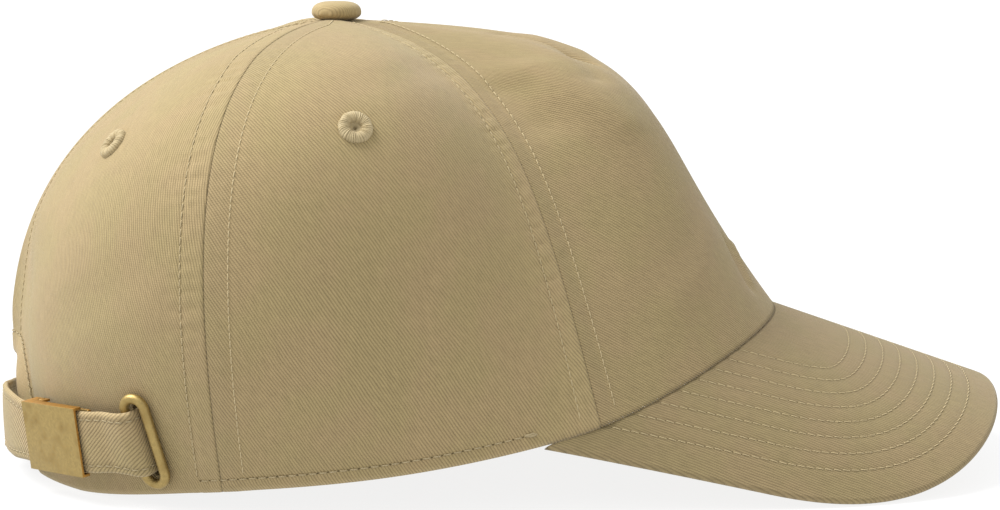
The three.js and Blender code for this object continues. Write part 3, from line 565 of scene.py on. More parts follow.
def prism(outline, low, high, matrix):
    """Points and faces of a straight prism over a flat outline, placed by a matrix."""
    outline = np.asarray(outline, float)
    n = len(outline)
    ends = [np.concatenate([outline, np.full((n, 1), z)], 1) for z in (low, high)]
    k = np.arange(n)
    faces = [list(reversed(range(n))), list(range(n, 2 * n))]
    faces += np.stack([k, (k + 1) % n, n + (k + 1) % n, n + k], -1).tolist()
    return placed(np.concatenate(ends), matrix), faces


def stadium(length_over_all, width, steps=14):
    r = width / 2
    a = np.linspace(0, math.pi, steps)
    top = np.stack([r * np.cos(a), length_over_all / 2 - r + r * np.sin(a)], -1)
    return np.concatenate([top, -top])


def stitch_object(name, parts, material):
    points, faces = join_parts(parts)
    return finish_piece(make_object(name, points, faces), material=material)


def sew_rows(name, rows, key=""):
    """The thread of several rows, and the discs of painted shade at the holes it goes in by."""
    parts, painted_hole_shades = rows
    stitch_object(name, parts, finish_of("thread", key))
    stitch_object(name + "_holes", painted_hole_shades, finish_of("pricked"))


# How each row is sewn, in millimetres: length and gap of its stitches, thread radius, how far they
# stand out and go in, and their slant.
SEAM_SEWING = {"size": 1.95, "gap": 0.15, "radius": 0.175, "proud": 0.14, "sunk": 0.1, "slant": 0.12}
RIM_SEWING = {"size": 2.1, "gap": 0.5, "radius": 0.18, "slant": 0.1}
BARTACK_SEWING = {"size": 2.6, "gap": 0.3, "radius": 0.2, "proud": 0.22}
PEAK_SEWING = {"size": 2.25, "gap": 0.2, "radius": 0.14, "proud": 0.1, "sunk": 0.12, "slant": 0.3}
STRAP_SEWING = {"size": 2.1, "gap": 0.6, "radius": 0.17, "proud": 0.1, "slant": 0.1}


# Materials


class Value:
    """A shader socket that Python's operators work on."""

    def __init__(self, tree, socket):
        self.tree, self.socket = tree, socket

    def math(self, operation, *others):
        node = self.tree.nodes.new("ShaderNodeMath")
        node.operation = operation
        for i, item in enumerate((self,) + others):
            link_or_set(self.tree, node.inputs[i], item)
        return Value(self.tree, node.outputs[0])

    def __add__(self, other):
        return self.math("ADD", other)

    __radd__ = __add__

    def __mul__(self, other):
        return self.math("MULTIPLY", other)

    __rmul__ = __mul__

    def __sub__(self, other):
        return self.math("SUBTRACT", other)

    def __rsub__(self, other):
        return (self * -1).math("ADD", other)

    def __truediv__(self, other):
        return self.math("DIVIDE", other)

    def __pow__(self, other):
        return self.math("POWER", other)

    def sine(self):
        return self.math("SINE")

    def clamp(self):
        node = self.tree.nodes.new("ShaderNodeClamp")
        self.tree.links.new(self.socket, node.inputs[0])
        return Value(self.tree, node.outputs[0])


def link_or_set(tree, socket, item):
    if isinstance(item, Value):
        tree.links.new(item.socket, socket)
    elif isinstance(item, bpy.types.NodeSocket):
        tree.links.new(item, socket)
    else:
        socket.default_value = item


class Finish:
    """A material's node tree."""

    def __init__(self, name):
        self.material = bpy.data.materials.new(name)
        self.material.use_nodes = True
        self.tree = self.material.node_tree
        self.tree.nodes.clear()

    def node(self, kind, settings=None, output=0, **sockets):
        node = self.tree.nodes.new("ShaderNode" + kind)
        for key, value in (settings or {}).items():
            if key == "stops":
                ramp = node.color_ramp
                while len(ramp.elements) < len(value):
                    ramp.elements.new(0.5)
                for element, (position, color) in zip(ramp.elements, value):
                    element.position, element.color = position, (*color, 1)
            else:
                setattr(node, key, value)
        for key, value in sockets.items():
            numbered = key[0] == "i" and key[1:].isdigit()
            socket = node.inputs[int(key[1:]) if numbered else key.replace("_", " ")]
            link_or_set(self.tree, socket, value)
        return Value(self.tree, node.outputs[output])

    def noise(self, place, scale, detail, dimensions="3D"):
        kind = {"noise_dimensions": dimensions}
        return self.node("TexNoise", kind, Vector=place, Scale=scale, Detail=detail)

    def mix(self, factor, a, b):
        kind = {"data_type": "RGBA", "blend_type": "MIX"}
        return self.node("Mix", kind, output=2, i0=factor, i6=color4(a), i7=color4(b))

    def shade(self, color, value):
        """The colour times a number, as a grey."""
        kind = {"data_type": "RGBA", "blend_type": "MULTIPLY"}
        grey = self.node("CombineColor", None, Red=value, Green=value, Blue=value)
        return self.node("Mix", kind, output=2, i0=1.0, i6=color4(color), i7=grey)

    def surface(self, color, roughness, bump=None, strength=1.0, distance=0.001, **constants):
        shader = self.tree.nodes.new("ShaderNodeBsdfPrincipled")
        link_or_set(self.tree, shader.inputs["Base Color"], color4(color))
        link_or_set(self.tree, shader.inputs["Roughness"], roughness)
        for key, value in constants.items():
            shader.inputs[key.replace("_", " ")].default_value = value
        if bump is not None:
            normal = self.node("Bump", None, Strength=strength, Distance=distance, Height=bump)
            self.tree.links.new(normal.socket, shader.inputs["Normal"])
        out = self.tree.nodes.new("ShaderNodeOutputMaterial")
        self.tree.links.new(shader.outputs[0], out.inputs[0])
        return self.material

    def flat_place(self):
        place = self.node("UVMap", {"uv_map": "flat"})
        u, v = (self.node("SeparateXYZ", None, i, Vector=place) for i in (0, 1))
        return place, u, v


def color4(value):
    if isinstance(value, (tuple, list)) or type(value).__name__ in ("bpy_prop_array", "Color"):
        return (*tuple(value)[:3], 1.0)
    return value


def twill(name, color, turn, pitch=0.69, depth=0.1, contrast=0.52, worn=0.35):
    """Washed cotton twill: diagonal ribs across the flat cloth, turned by an angle in degrees."""
    f = Finish(name)
    place, u, v = f.flat_place()
    wobble = f.noise(place, 0.05, 2.0, "2D")
    fine = f.noise(place, 1.7, 2.0, "2D")
    c, s = math.cos(math.radians(turn)), math.sin(math.radians(turn))
    across = (u * s + v * c) / pitch + (wobble - 0.5) * 1.6 + (fine - 0.5) * 0.3
    along = (u * c - v * s) / 0.62
    rib = (across * math.pi).sine().math("ABSOLUTE") ** 0.75
    yarn = ((along + across * 0.5) * (2 * math.pi)).sine() * 0.5 + 0.5
    streak_at = f.node("CombineXYZ", None, X=across * 1.1, Y=along * 0.16, Z=0.0)
    streak = f.noise(streak_at, 1.0, 1.5)
    cloud = f.noise(place, 0.035, 4.0, "2D")
    warm = f.noise(place, 0.055, 3.0, "2D")
    speck = f.noise(place, 3.4, 1.0, "2D")
    wear = f.node("Attribute", {"attribute_name": "wear"}, output=2)
    hollow = f.node("Attribute", {"attribute_name": "hollow"}, output=2)
    height = rib * 0.75 + rib * yarn * 0.25 + fine * 0.14
    tone = (rib - 0.64) * contrast + 1.0 + (streak - 0.5) * 0.36 + (cloud - 0.5) * 0.1 + (speck - 0.5) * 0.22
    # Rubbed wear lightens the cloth; the layer of hollows darkens it as painted shade in seams, stitch
    # grooves and gathers.
    tone = tone + wear * worn * 0.25 - hollow * 0.3
    green = tuple(x * k for x, k in zip(color, (0.985, 1.0, 0.97)))
    ruddy = tuple(x * k for x, k in zip(color, (1.016, 0.995, 1.015)))
    base = f.mix(((warm - 0.38) * 4.2).clamp(), green, ruddy)
    pale = tuple(min(1.0, x * k) for x, k in zip(color, (1.12, 1.14, 1.25)))
    base = f.shade(f.mix((wear * worn).clamp(), base, pale), tone)
    soft = {"Sheen_Weight": 0.12, "Sheen_Roughness": 0.5, "Specular_IOR_Level": 0.2}
    return f.surface(base, 0.9 - rib * 0.06, height, 0.9, depth * 0.001, **soft)


def thread(name, color, coarse=False):
    """Twisted sewing thread, or the coarser embroidery of the eyelets."""
    f = Finish(name)
    place = f.node("TexCoord", None, output=3)
    strand = f.noise(place, 1500.0 if coarse else 2600.0, 2.0)
    cloud = f.noise(place, 300.0, 2.0)
    hollow = f.node("Attribute", {"attribute_name": "hollow"}, output=2)
    # The layer of hollows darkens the eyelets' thread as painted shade between the wraps and down the hole.
    tone = strand * 0.3 + cloud * 0.26 + 0.72 - hollow * 0.34
    soft = {"Sheen_Weight": 0.12, "Specular_IOR_Level": 0.3}
    return f.surface(f.shade(color, tone), 0.62 + strand * 0.1, strand, 0.6, 0.00006, **soft)


def pricked(name, color):
    """Painted shade at the needle holes: dark discs in a darkened cloth colour."""
    f = Finish(name)
    place = f.node("TexCoord", None, output=3)
    cloud = f.noise(place, 900.0, 1.0)
    return f.surface(f.shade(color, cloud * 0.5 + 0.4), 0.95, Specular_IOR_Level=0.05)


def brass(name, color, tarnish):
    """Antiqued satin brass with a fine speckle, darker patches of tarnish and ruddier side faces."""
    f = Finish(name)
    place = f.node("TexCoord", None, output=3)
    speck = f.noise(place, 1300.0, 3.0)
    cloud = f.noise(place, 240.0, 4.0)
    mask = ((cloud - 0.5) * 5 + (speck - 0.5) * 2.0).clamp()
    side = f.node("Attribute", {"attribute_name": "side"}, output=2)
    ruddy = tuple(c * k for c, k in zip(color, (1.12, 0.78, 0.42)))
    base = f.mix((side * 0.85 + mask * 0.12).clamp(), f.mix(mask * 0.7, color, tarnish), ruddy)
    base = f.shade(base, speck * 0.7 + 0.65)
    rough = mask * 0.1 + speck * 0.14 + 0.42
    return f.surface(base, rough, speck, 0.6, 0.00006, Metallic=0.9, Specular_IOR_Level=0.5)


def plain_floor(name, color):
    f = Finish(name)
    place = f.node("TexCoord", None, output=3)
    cloud = f.noise(place, 0.8, 2.0)
    glow = {"Emission_Color": (1, 1, 1, 1), "Emission_Strength": 0.85}
    return f.surface(f.shade(color, cloud * 0.02 + 0.99), 0.8, Specular_IOR_Level=0.1, **glow)


# The twill's turn on each kind of piece, in degrees, and each piece's share of the set colour: painted shade
# darkens the peak, under the crown's shadow, and the front panel, and painted light brightens the button on
# top.
TWILL_TURNS = {"side": -58, "back": -73, "front": -57, "peak": 87, "strap": -40, "button": 24}
CLOTH_PAINTED_LIGHT_SHARES = {"peak": 0.745, "front": 0.95, "button": 1.16}
# Each thread's share of the set colour; the sunken rows' thread is darker as painted shade of their hollow.
THREAD_SHARES = {"": 1.0, "embroidery": 0.98, "sunk": 0.94, "strap": 0.8}
# The needle-hole discs take this share of the cloth colour as painted shade.
PAINTED_HOLE_SHADE_SHARE = 0.6
EXTRA_WEAVE = {
    "button": {"pitch": 0.55, "depth": 0.06, "contrast": 0.34},
    "strap": {"pitch": 0.76, "depth": 0.12, "contrast": 0.62},
    "back": {"contrast": 0.5},
    "peak": {"contrast": 0.42},
}


def finish_of(kind, key=""):
    """The named finish, made once."""
    s = bpy.context.scene.cap_settings
    name = "_".join(filter(None, ("cap", kind, key)))
    if name in bpy.data.materials:
        return bpy.data.materials[name]
    if kind == "twill":
        color = tuple(c * CLOTH_PAINTED_LIGHT_SHARES.get(key, 1.0) for c in s.cloth_color)
        return twill(name, color, TWILL_TURNS[key], **EXTRA_WEAVE.get(key, {}))
    if kind == "band":
        return twill(name, tuple(s.band_color), 0, pitch=0.6, depth=0.07, contrast=0.14)
    if kind == "thread":
        share = THREAD_SHARES[key]
        return thread(name, tuple(c * share for c in s.thread_color), key == "embroidery")
    if kind == "pricked":
        return pricked(name, tuple(c * PAINTED_HOLE_SHADE_SHARE for c in s.cloth_color))
    return brass(name, tuple(s.brass_color), tuple(s.tarnish_color))


# Panels


SEAM_ROW = 5.05
SEAM_NARROWING = 0.28
RIM_ROW = 3.5
RIM_ROW_START = 3.0
ARCH_ROW = 6.0
PANELS = {
    "front_panel": (-FRONT_SEAM, FRONT_SEAM, "front"),
    "side_panel_right": (FRONT_SEAM, REAR_SEAM, "side"),
    "side_panel_left": (-REAR_SEAM, -FRONT_SEAM, "side"),
    "back_panel_right": (REAR_SEAM, 180, "back"),
    "back_panel_left": (-180, -REAR_SEAM, "back"),
}
SEAM_MARKS = (0.02, 0.2, 0.42, 0.75, 1.3, 2.1, 3.0, 3.9, 4.45, 4.8, 5.05, 5.3, 5.65, 6.2, 7.0, 8.4)


def apex_share(phi):
    rim = rim_point(phi)
    distance = np.hypot(rim[..., 0] + APEX_BACK, rim[..., 1])
    return 1 - APEX_HOLE / (3 * eased(MERIDIANS, "reach", folded(phi)) * distance)


def arch_share(phi, margin=0.0):
    """Share of the meridian where the rear arch, grown by a margin, cuts it, and zero elsewhere."""
    phi = np.asarray(phi, float)
    t = np.linspace(0, 0.5, 160)
    line = plain_point(phi[..., None], t)
    field = np.hypot(line[..., 1] / (ARCH_HALF_WIDTH + margin), line[..., 2] / (ARCH_HEIGHT + margin))
    inside = (field < 1) & (line[..., 0] < 0)
    share = []
    for row, mask in zip(field.reshape(-1, len(t)), inside.reshape(-1, len(t))):
        if not mask[0]:
            share.append(0.0)
            continue
        i = int(np.argmin(mask))
        a, b = row[i - 1], row[i]
        share.append(t[i - 1] + (t[i] - t[i - 1]) * (1 - a) / (b - a))
    return np.array(share).reshape(phi.shape)


def panel_grid(low, high, inner_columns, rows):
    """Angles and shares of a panel's grid, with columns gathered along its two seams."""
    span = high - low
    middle = (low + high) / 2
    share = np.linspace(0, 1, rows)
    near = plain_point(middle, share * float(apex_share(middle)))
    radius = np.hypot(near[:, 0] + APEX_BACK, near[:, 1])
    squeeze = np.minimum(1, SEAM_NARROWING * math.radians(span) * radius / SEAM_RIB)
    marks = np.array(SEAM_MARKS)
    edge = np.degrees(marks[:, None] * squeeze / radius)
    plain = edge[-1] + (span - 2 * edge[-1]) * np.linspace(0, 1, inner_columns + 2)[1:-1, None]
    angle = low + np.concatenate([edge, plain, span - edge[::-1]])
    apart = np.concatenate([marks, np.full(inner_columns, 99.0), marks[::-1]])[:, None] + 0 * angle
    return angle, share[None] + 0 * angle, apart


def seam_profile(apart, walked, rearward):
    """Height of the cloth beside a seam: a soft strip, the stitched hollow and the fold of the seam.

    The row on the rearward side is drawn in harder.
    Its strip puckers and stands a little over the other. It also gives the painted shade of the stitched
    hollow, the fold of the seam and the strip on the forward side.
    """
    drawn = np.where(rearward, 1.0, 0.3)
    strip = 0.26 * smooth_step((8.2 - apart) / 4.6)
    hollow = bell(apart - SEAM_ROW, 0.6)
    long_wave = np.sin(walked * 1.5 + 1.4 * np.sin(walked * 0.33))
    short_wave = np.sin(walked * 2.9 + 2 * np.sin(walked * 0.21))
    wave = long_wave * 0.6 + short_wave * 0.4
    stitch = 0.8 + 0.2 * np.sin(walked * 2.95)
    uneven = 0.62 + 0.38 * np.sin(walked * 0.17 + 1.3 * np.sin(walked * 0.071))
    bulge = 0.27 * wave * uneven * bell(apart - 3.1, 1.8) * drawn
    spread = 0.16 * wave * uneven * bell(apart - 6.8, 1.4) * drawn
    lap = np.where(rearward, 0.05, -0.06) * bell(apart, 1.6)
    valley = bell(apart, 0.3)
    rise = strip + bulge + spread + lap - (0.06 + 0.12 * drawn) * hollow * stitch - 0.17 * valley
    # Painted shade on the forward side's strip, where the rearward panel laps over it.
    shade = np.where(rearward, 0.0, 0.26) * smooth_step((4.9 - apart) / 1.2)
    return rise, hollow * 0.08 * drawn + valley * 0.38 + shade


def edge_distance(phi, t, walked, point, is_back):
    """Distance in millimetres to the rim or to the arch's edge."""
    away = walked
    if is_back:
        y, z = point[..., 1] / ARCH_HALF_WIDTH, point[..., 2] / ARCH_HEIGHT
        field = np.hypot(y, z)
        steep = np.hypot(y / ARCH_HALF_WIDTH, z / ARCH_HEIGHT) / np.maximum(field, 1e-6)
        away = np.minimum(away, np.where(point[..., 0] < 0, (field - 1) / np.maximum(steep, 1e-6), 99))
    return np.maximum(away, 0)


def hem_row(away, walked, is_back):
    """Distance of the hem's stitch row: further in along the arch than along the rim."""
    if not is_back:
        return np.full(away.shape, RIM_ROW)
    return np.where(away < walked - 0.5, ARCH_ROW, RIM_ROW)


def hem_profile(away, walked, row):
    """Height of the turned hem along the rim and the arch."""
    raised = np.where(row > 4.5, 0.3, 0.2)
    ripple = 0.08 * np.sin(walked * 1.7) * bell(away - row, 2.0)
    hem = raised * smooth_step((row + 0.6 - away) / 1.6) - 0.24 * bell(away - row, 0.55)
    return hem + ripple - 0.4 * bell(away, 0.6)


def panel_object(name):
    low, high, kind = PANELS[name]
    is_back = kind == "back"
    quick = 1
    inner = int({"front": 130, "side": 56, "back": 64}[kind] * quick)
    rows = int(190 * quick)
    angle, share, apart = panel_grid(low, high, inner, rows)
    t = share * apex_share(angle)
    if is_back:
        start = arch_share(angle[:, 0])[:, None]
        t = start + (apex_share(angle) - start) * share
    steps, lengths = meridian_lengths(angle.ravel(), 120)
    walked = np.array([np.interp(a, steps, b) for a, b in zip(t.ravel(), lengths)]).reshape(t.shape)
    plain = plain_point(angle, t)
    away = edge_distance(angle, t, walked, plain, is_back)
    seam = np.where(angle < (low + high) / 2, low, high)
    ribs, hollow = seam_profile(apart, walked, np.abs(angle) > np.abs(seam))
    ribs = ribs * smooth_step((1 - share) / 0.12)
    row = hem_row(away, walked, is_back)
    rise = ribs + hem_profile(away, walked, row) * (1 if kind != "front" else 0.0)
    pinch = back_pinch(angle, t)
    outer = crown_point(angle, t, rise + pinch)
    inside = crown_point(angle, t, pinch - CLOTH)
    rim = rim_point(angle[:, 0])
    across = -((rim_point(angle[:, 0], CLOTH) - rim) * crown_normal(angle[:, 0], 0)).sum(-1)
    bottom = rim_point(angle[:, 0], CLOTH * CLOTH / across)
    at_rim = t[:, 0] <= 0
    inside[at_rim, 0] = bottom[at_rim]
    columns = angle.shape[0]
    points = np.concatenate([outer.reshape(-1, 3), inside.reshape(-1, 3)])
    step = length(np.diff(plain, axis=0))
    round_cap = np.concatenate([np.zeros((1, step.shape[1])), np.cumsum(step, 0)])
    round_cap = round_cap - round_cap[len(round_cap) // 2]
    flat = np.stack([round_cap, walked], -1).reshape(-1, 2)
    wear = np.clip(ribs / 0.4, 0, 1) * 0.35 + bell(away, 0.8) * (kind != "front")
    # The wear layer lightens rubbed ribs and edges; the layer of hollows carries painted shade along the
    # seams.
    layers = {
        "wear": np.concatenate([wear.ravel(), np.zeros(wear.size)]),
        "hollow": np.concatenate([np.clip(hollow, 0, 1).ravel(), np.zeros(wear.size)]),
    }
    flat = np.concatenate([flat, flat])
    obj = make_object(name + "_cloth", points, shell_faces(columns, rows), flat, layers=layers)
    place, hand = name.rsplit("_", 1)
    cutters = [eyelet_cutter(key) for key in EYELETS if key == place + "_eyelet_" + hand]
    if name == "back_panel_right":
        cutters.append(slot_cutter())
    cut_through(obj, cutters)
    return finish_piece(obj, [name], finish_of("twill", kind))


def eyelet_cutter(name):
    phi, t = EYELETS[name]
    a = 2 * np.pi * np.arange(24) / 24
    return prism(EYELET_CUT * np.stack([np.cos(a), np.sin(a)], -1), -CLOTH - 3, 3, face_frame(phi, t))


def ring_frame(off):
    t = float(share_at(RING_ANGLE, float(strap_height(RING_ANGLE))))
    return face_frame(RING_ANGLE, t, off, RING_TILT)


def slot_cutter():
    """The slot that the strap goes in through, behind the ring."""
    outline = stadium(RING_LENGTH - 4 * RING_WIRE, RING_WIDTH - 4 * RING_WIRE + GAP)
    return prism(outline, -8, 6, ring_frame(0))


def seam_rows(seam, sides, sunk):
    """Topstitch beside a seam: the sunken row on its rearward side, or the row that lies on the cloth."""
    parts, painted_hole_shades = [], []
    share = np.linspace(0, 1, 260)
    for side, span in sides:
        if sunk != (abs(seam + side) > abs(seam) and abs(seam) < 180):
            continue
        start = 0.0
        if abs(seam) == 180:
            start = float(arch_share(np.array([179.5]))[0]) + 0.01
        radius_at = plain_point(seam, share * float(apex_share(seam)))
        radius = np.hypot(radius_at[:, 0] + APEX_BACK, radius_at[:, 1])
        squeeze = np.minimum(1, SEAM_NARROWING * math.radians(span) * radius / SEAM_RIB)
        phi = seam + side * np.degrees(SEAM_ROW * squeeze / radius)
        t = start + (share * apex_share(phi) - start * share)
        keep = (share > 0.012) & (share < 0.965)
        off = (0.05 if sunk else 0.08) + back_pinch(phi, t)
        line, normal = crown_point(phi, t, off)[keep], crown_normal(phi, t)[keep]
        parts.append(stitches(line, normal, **SEAM_SEWING))
        painted_hole_shades.append(painted_hole_shade_discs(line, normal, SEAM_SEWING, 0.1 if sunk else 0.06))
    return parts, painted_hole_shades


def crown_stitching(sunk):
    side, back, front = REAR_SEAM - FRONT_SEAM, 180 - REAR_SEAM, 2 * FRONT_SEAM
    rows = []
    for hand in (1, -1):
        rows.append(seam_rows(hand * FRONT_SEAM, ((-hand, front), (hand, side)), sunk))
        rows.append(seam_rows(hand * REAR_SEAM, ((-hand, side), (hand, back)), sunk))
    rows.append(seam_rows(180, ((-1, back), (1, back)), sunk))
    return [p for parts, _ in rows for p in parts], [h for _, painted_hole_shades in rows for h in painted_hole_shades]


def rim_stitching():
    """The row that sews the sweatband to the rim, its bartacks at the peak, and the row along the arch."""
    parts, painted_hole_shades = [], []
    near = degrees_per_length(PEAK_END)
    for hand in (1, -1):
        phi = np.linspace(PEAK_END + RIM_ROW_START * near, REAR_SEAM + 3.2, 200)
        t = share_at(phi, RIM_ROW)
        line, normal = crown_point(hand * phi, t, 0.04), crown_normal(hand * phi, t)
        parts.append(stitches(line, normal, **RIM_SEWING))
        painted_hole_shades.append(painted_hole_shade_discs(line, normal, RIM_SEWING, 0.24))
        for i in range(7):
            place = PEAK_END + (RIM_ROW_START + np.linspace(-1.6, 1.7, 5) + 0.14 * i) * near
            height = RIM_ROW + 0.1 * (i - 3) + 0.1 * np.sin(np.arange(5) * 2.1 + i)
            t = share_at(place, height)
            at = crown_point(hand * place, t, 0.1 + 0.08 * (i % 3))
            parts.append(stitches(at, crown_normal(hand * place, t), **BARTACK_SEWING))
    reach = math.degrees(math.asin((ARCH_HALF_WIDTH + ARCH_ROW) / RIM_HALF_WIDTH)) - 0.3
    phi = 180 + reach * np.sin(np.linspace(-math.pi / 2, math.pi / 2, 181))
    t = arch_share(phi, ARCH_ROW)
    line, normal = crown_point(phi, t, 0.3 + back_pinch(phi, t)), crown_normal(phi, t)
    parts.append(stitches(line, normal, **RIM_SEWING))
    painted_hole_shades.append(painted_hole_shade_discs(line, normal, RIM_SEWING, 0.22))
    return parts, painted_hole_shades


# Eyelets and button


def eyelet_object(name):
    """Thread wrapped round the edge of a hole, through the cloth and over both faces."""
    phi, t = EYELETS[name]
    wraps, per = 38, 8
    columns = wraps * per
    a = (2 * np.pi * np.arange(columns) / columns)[:, None]
    seed = phi * 0.1
    outer, hole = EYELET_RADIUS * 0.93, EYELET_HOLE * 1.12
    middle, half = (outer + hole) / 2, (outer - hole) / 2
    over = np.linspace(-0.1, 0.5 * np.pi, 9)
    into = np.linspace(0.5 * np.pi, np.pi, 8)[1:]
    strand = np.abs(np.cos(a * wraps / 2 + 0.6 * np.sin(5 * a + seed))) ** 0.8
    ridge = 0.34 * (strand - 0.5) * (0.75 + 0.45 * np.sin(11 * a + seed))
    uneven = 1 + 0.045 * np.sin(3 * a + seed) + 0.03 * np.sin(8 * a + 1 + seed)
    bend = np.concatenate([over, into])[None]
    radius = middle + (half + ridge * 0.6) * np.cos(bend) * uneven
    radius = radius + 0.1 * np.sin(bend) ** 2
    height = 0.12 + (1.15 + ridge) * np.sin(np.maximum(bend, 0))
    height = np.where(bend < 0, -0.25, height)
    down = np.linspace(0, 1, 6)[None, 1:]
    wall = hole * (1 - 0.82 * np.sin(np.pi * np.minimum(down, 0.999))) + 0.12 * ridge
    wall_height = 0.1 - (CLOTH + 0.2) * down + 0 * wall
    back = np.linspace(np.pi, 2 * np.pi, 9)[None, 1:]
    back_radius = middle - 0.35 + (half - 0.35) * np.cos(back)
    back_height = -CLOTH - 0.1 + (0.5 + 0.5 * ridge) * np.sin(back)
    radius = np.concatenate([radius, wall, back_radius + 0 * a], 1)
    height = np.concatenate([height, wall_height, back_height + 0 * a], 1)
    # Painted shade between the wraps, deepening down the hole's wall.
    hollow = np.clip(1 - strand * 1.5, 0, 1) + 0 * radius
    hollow = np.maximum(hollow, 0.9 * smooth_step((0.25 - height) / 0.9))
    skew = a + 0.16 * np.clip((radius - hole) / (2 * half), 0, 1)
    points = np.stack([radius * np.cos(skew), radius * np.sin(skew), height], -1)
    points = placed(points.reshape(-1, 3), face_frame(phi, t))
    faces = grid_faces(columns, radius.shape[1], wrap=True)
    obj = make_object(name + "_thread", points, faces, layers={"hollow": hollow})
    return finish_piece(obj, [name], finish_of("thread", "embroidery"))


def button_object():
    """The cloth-covered button: a low dome whose cloth is gathered in underneath."""
    columns, rows = 160, 48
    a = (2 * np.pi * np.arange(columns) / columns)[:, None]
    s = np.linspace(0, 1, rows)[None]
    bend = np.pi * (0.5 - s)
    up, down = BUTTON_HEIGHT - BUTTON_WAIST, BUTTON_UNDER
    gather = smooth_step((s - 0.42) / 0.2) * smooth_step((1.02 - s) / 0.15)
    wave = np.sin(12 * a + 5 * s + 0.8 * np.sin(2 * a)) * 0.6 + np.sin(27 * a + 7 * s + 1) * 0.4
    r = BUTTON_RADIUS * np.abs(np.cos(bend)) ** 0.6 * (1 + 0.022 * wave * gather)
    dome = np.where(bend > 0, up * np.abs(np.sin(bend)) ** 0.85, -down * np.abs(np.sin(bend)) ** 0.9)
    z = CROWN_HEIGHT + GAP + BUTTON_WAIST + dome + 0.12 * wave * gather
    x, y = r * np.cos(a), r * np.sin(a)
    points = np.stack([x - APEX_BACK, y, z], -1).reshape(-1, 3)
    flat = np.stack([x * (1 + 0.2 * s), y * (1 + 0.2 * s)], -1).reshape(-1, 2)
    # Painted shade in the folds of the gathered cloth underneath.
    layers = {"wear": np.zeros(len(points)) + 0.1, "hollow": (np.clip(-wave, 0, 1) * gather * 0.7).ravel()}
    faces = grid_faces(columns, rows, wrap=True, flip=True)
    obj = make_object("top_button_cloth", points, faces, flat, layers=layers)
    edit = bmesh.new()
    edit.from_mesh(obj.data)
    weld(edit)
    edit.to_mesh(obj.data)
    edit.free()
    return finish_piece(obj, ["top_button"], finish_of("twill", "button"))


# Peak


def peak_place(along, across, depth=0.0):
    """Place on the bent peak from its flat pattern, in millimetres."""
    along, across, depth = np.broadcast_arrays(
        np.asarray(along, float), np.asarray(across, float), np.asarray(depth, float)
    )
    y = np.linspace(0, 110, 1101)
    slope_of_drop = (peak_drop(y + 0.01) - peak_drop(y - 0.01)) / 0.02
    middle_slope = (slope_of_drop[1:] + slope_of_drop[:-1]) / 2
    walked = np.concatenate([[0], np.cumsum(np.hypot(1, middle_slope) * np.diff(y))])
    at = np.interp(np.abs(across), walked, y)
    bend = np.arctan(np.interp(at, y, slope_of_drop))
    slope = math.radians(PEAK_SLOPE)
    forward = np.array([math.cos(slope), 0, -math.sin(slope)])
    upward = np.array([math.sin(slope), 0, math.cos(slope)])
    point = np.array([RIM_HALF_LENGTH, 0, PEAK_HEIGHT]) + along[..., None] * forward
    point = point + (-peak_drop(at) - depth * np.cos(bend))[..., None] * upward
    point[..., 1] = np.sign(across) * (at - depth * np.sin(bend))
    return point


def peak_flat(phi, inset):
    """Flat place of a point of the rim on the peak's upper face."""
    a = np.radians(phi)
    x, y = (RIM_HALF_LENGTH - inset) * np.cos(a), (RIM_HALF_WIDTH - inset) * np.sin(a)
    slope = math.radians(PEAK_SLOPE)
    along = (x - RIM_HALF_LENGTH + peak_drop(y) * math.sin(slope)) / math.cos(slope)
    steps = np.linspace(0, 1, 200)
    walk = y[..., None] * steps
    across = np.hypot(np.diff(walk, axis=-1), np.diff(peak_drop(walk), axis=-1)).sum(-1)
    return np.stack([along, across], -1)


def peak_outline(count):
    """The peak's outer edge in its flat pattern, from the tip to the rim, at even steps."""
    def at(place):
        return np.array([place[0] * PEAK_LENGTH, place[1] * PEAK_HALF_WIDTH])

    s = np.linspace(0, 1, 400)[:, None]
    a, b, c, d = at(OUTLINE_TIP), at(OUTLINE_TIP_HANDLE), at(OUTLINE_HIP_HANDLE), at(OUTLINE_HIP)
    first = (1 - s) ** 3 * a + 3 * (1 - s) ** 2 * s * b + 3 * (1 - s) * s * s * c + s**3 * d
    end = peak_flat(np.array([PEAK_END]), 0)[0]
    second = (1 - s) ** 2 * d + 2 * (1 - s) * s * at(OUTLINE_SIDE_HANDLE) + s * s * end
    line = np.concatenate([first, second[1:]])
    walked = walked_along(line)
    even = np.linspace(0, walked[-1], count)
    return sampled(even, walked, line)


def outline_distance(flat, outline):
    """Distance of flat points to the outline, both halves."""
    a, b = outline[:-1], outline[1:]
    d = b - a
    result = np.full(len(flat), 1e9)
    p = np.stack([flat[:, 0], np.abs(flat[:, 1])], -1)
    for i in range(0, len(p), 4000):
        q = p[i : i + 4000, None, :]
        t = np.clip(((q - a) * d).sum(-1) / (d * d).sum(-1), 0, 1)
        result[i : i + 4000] = length(q - (a + d * t[..., None])).min(-1)
    return result


def peak_rows():
    s = bpy.context.scene.cap_settings
    return s.peak_row_first * 1000 + s.peak_row_pitch * 1000 * np.arange(s.peak_row_count)


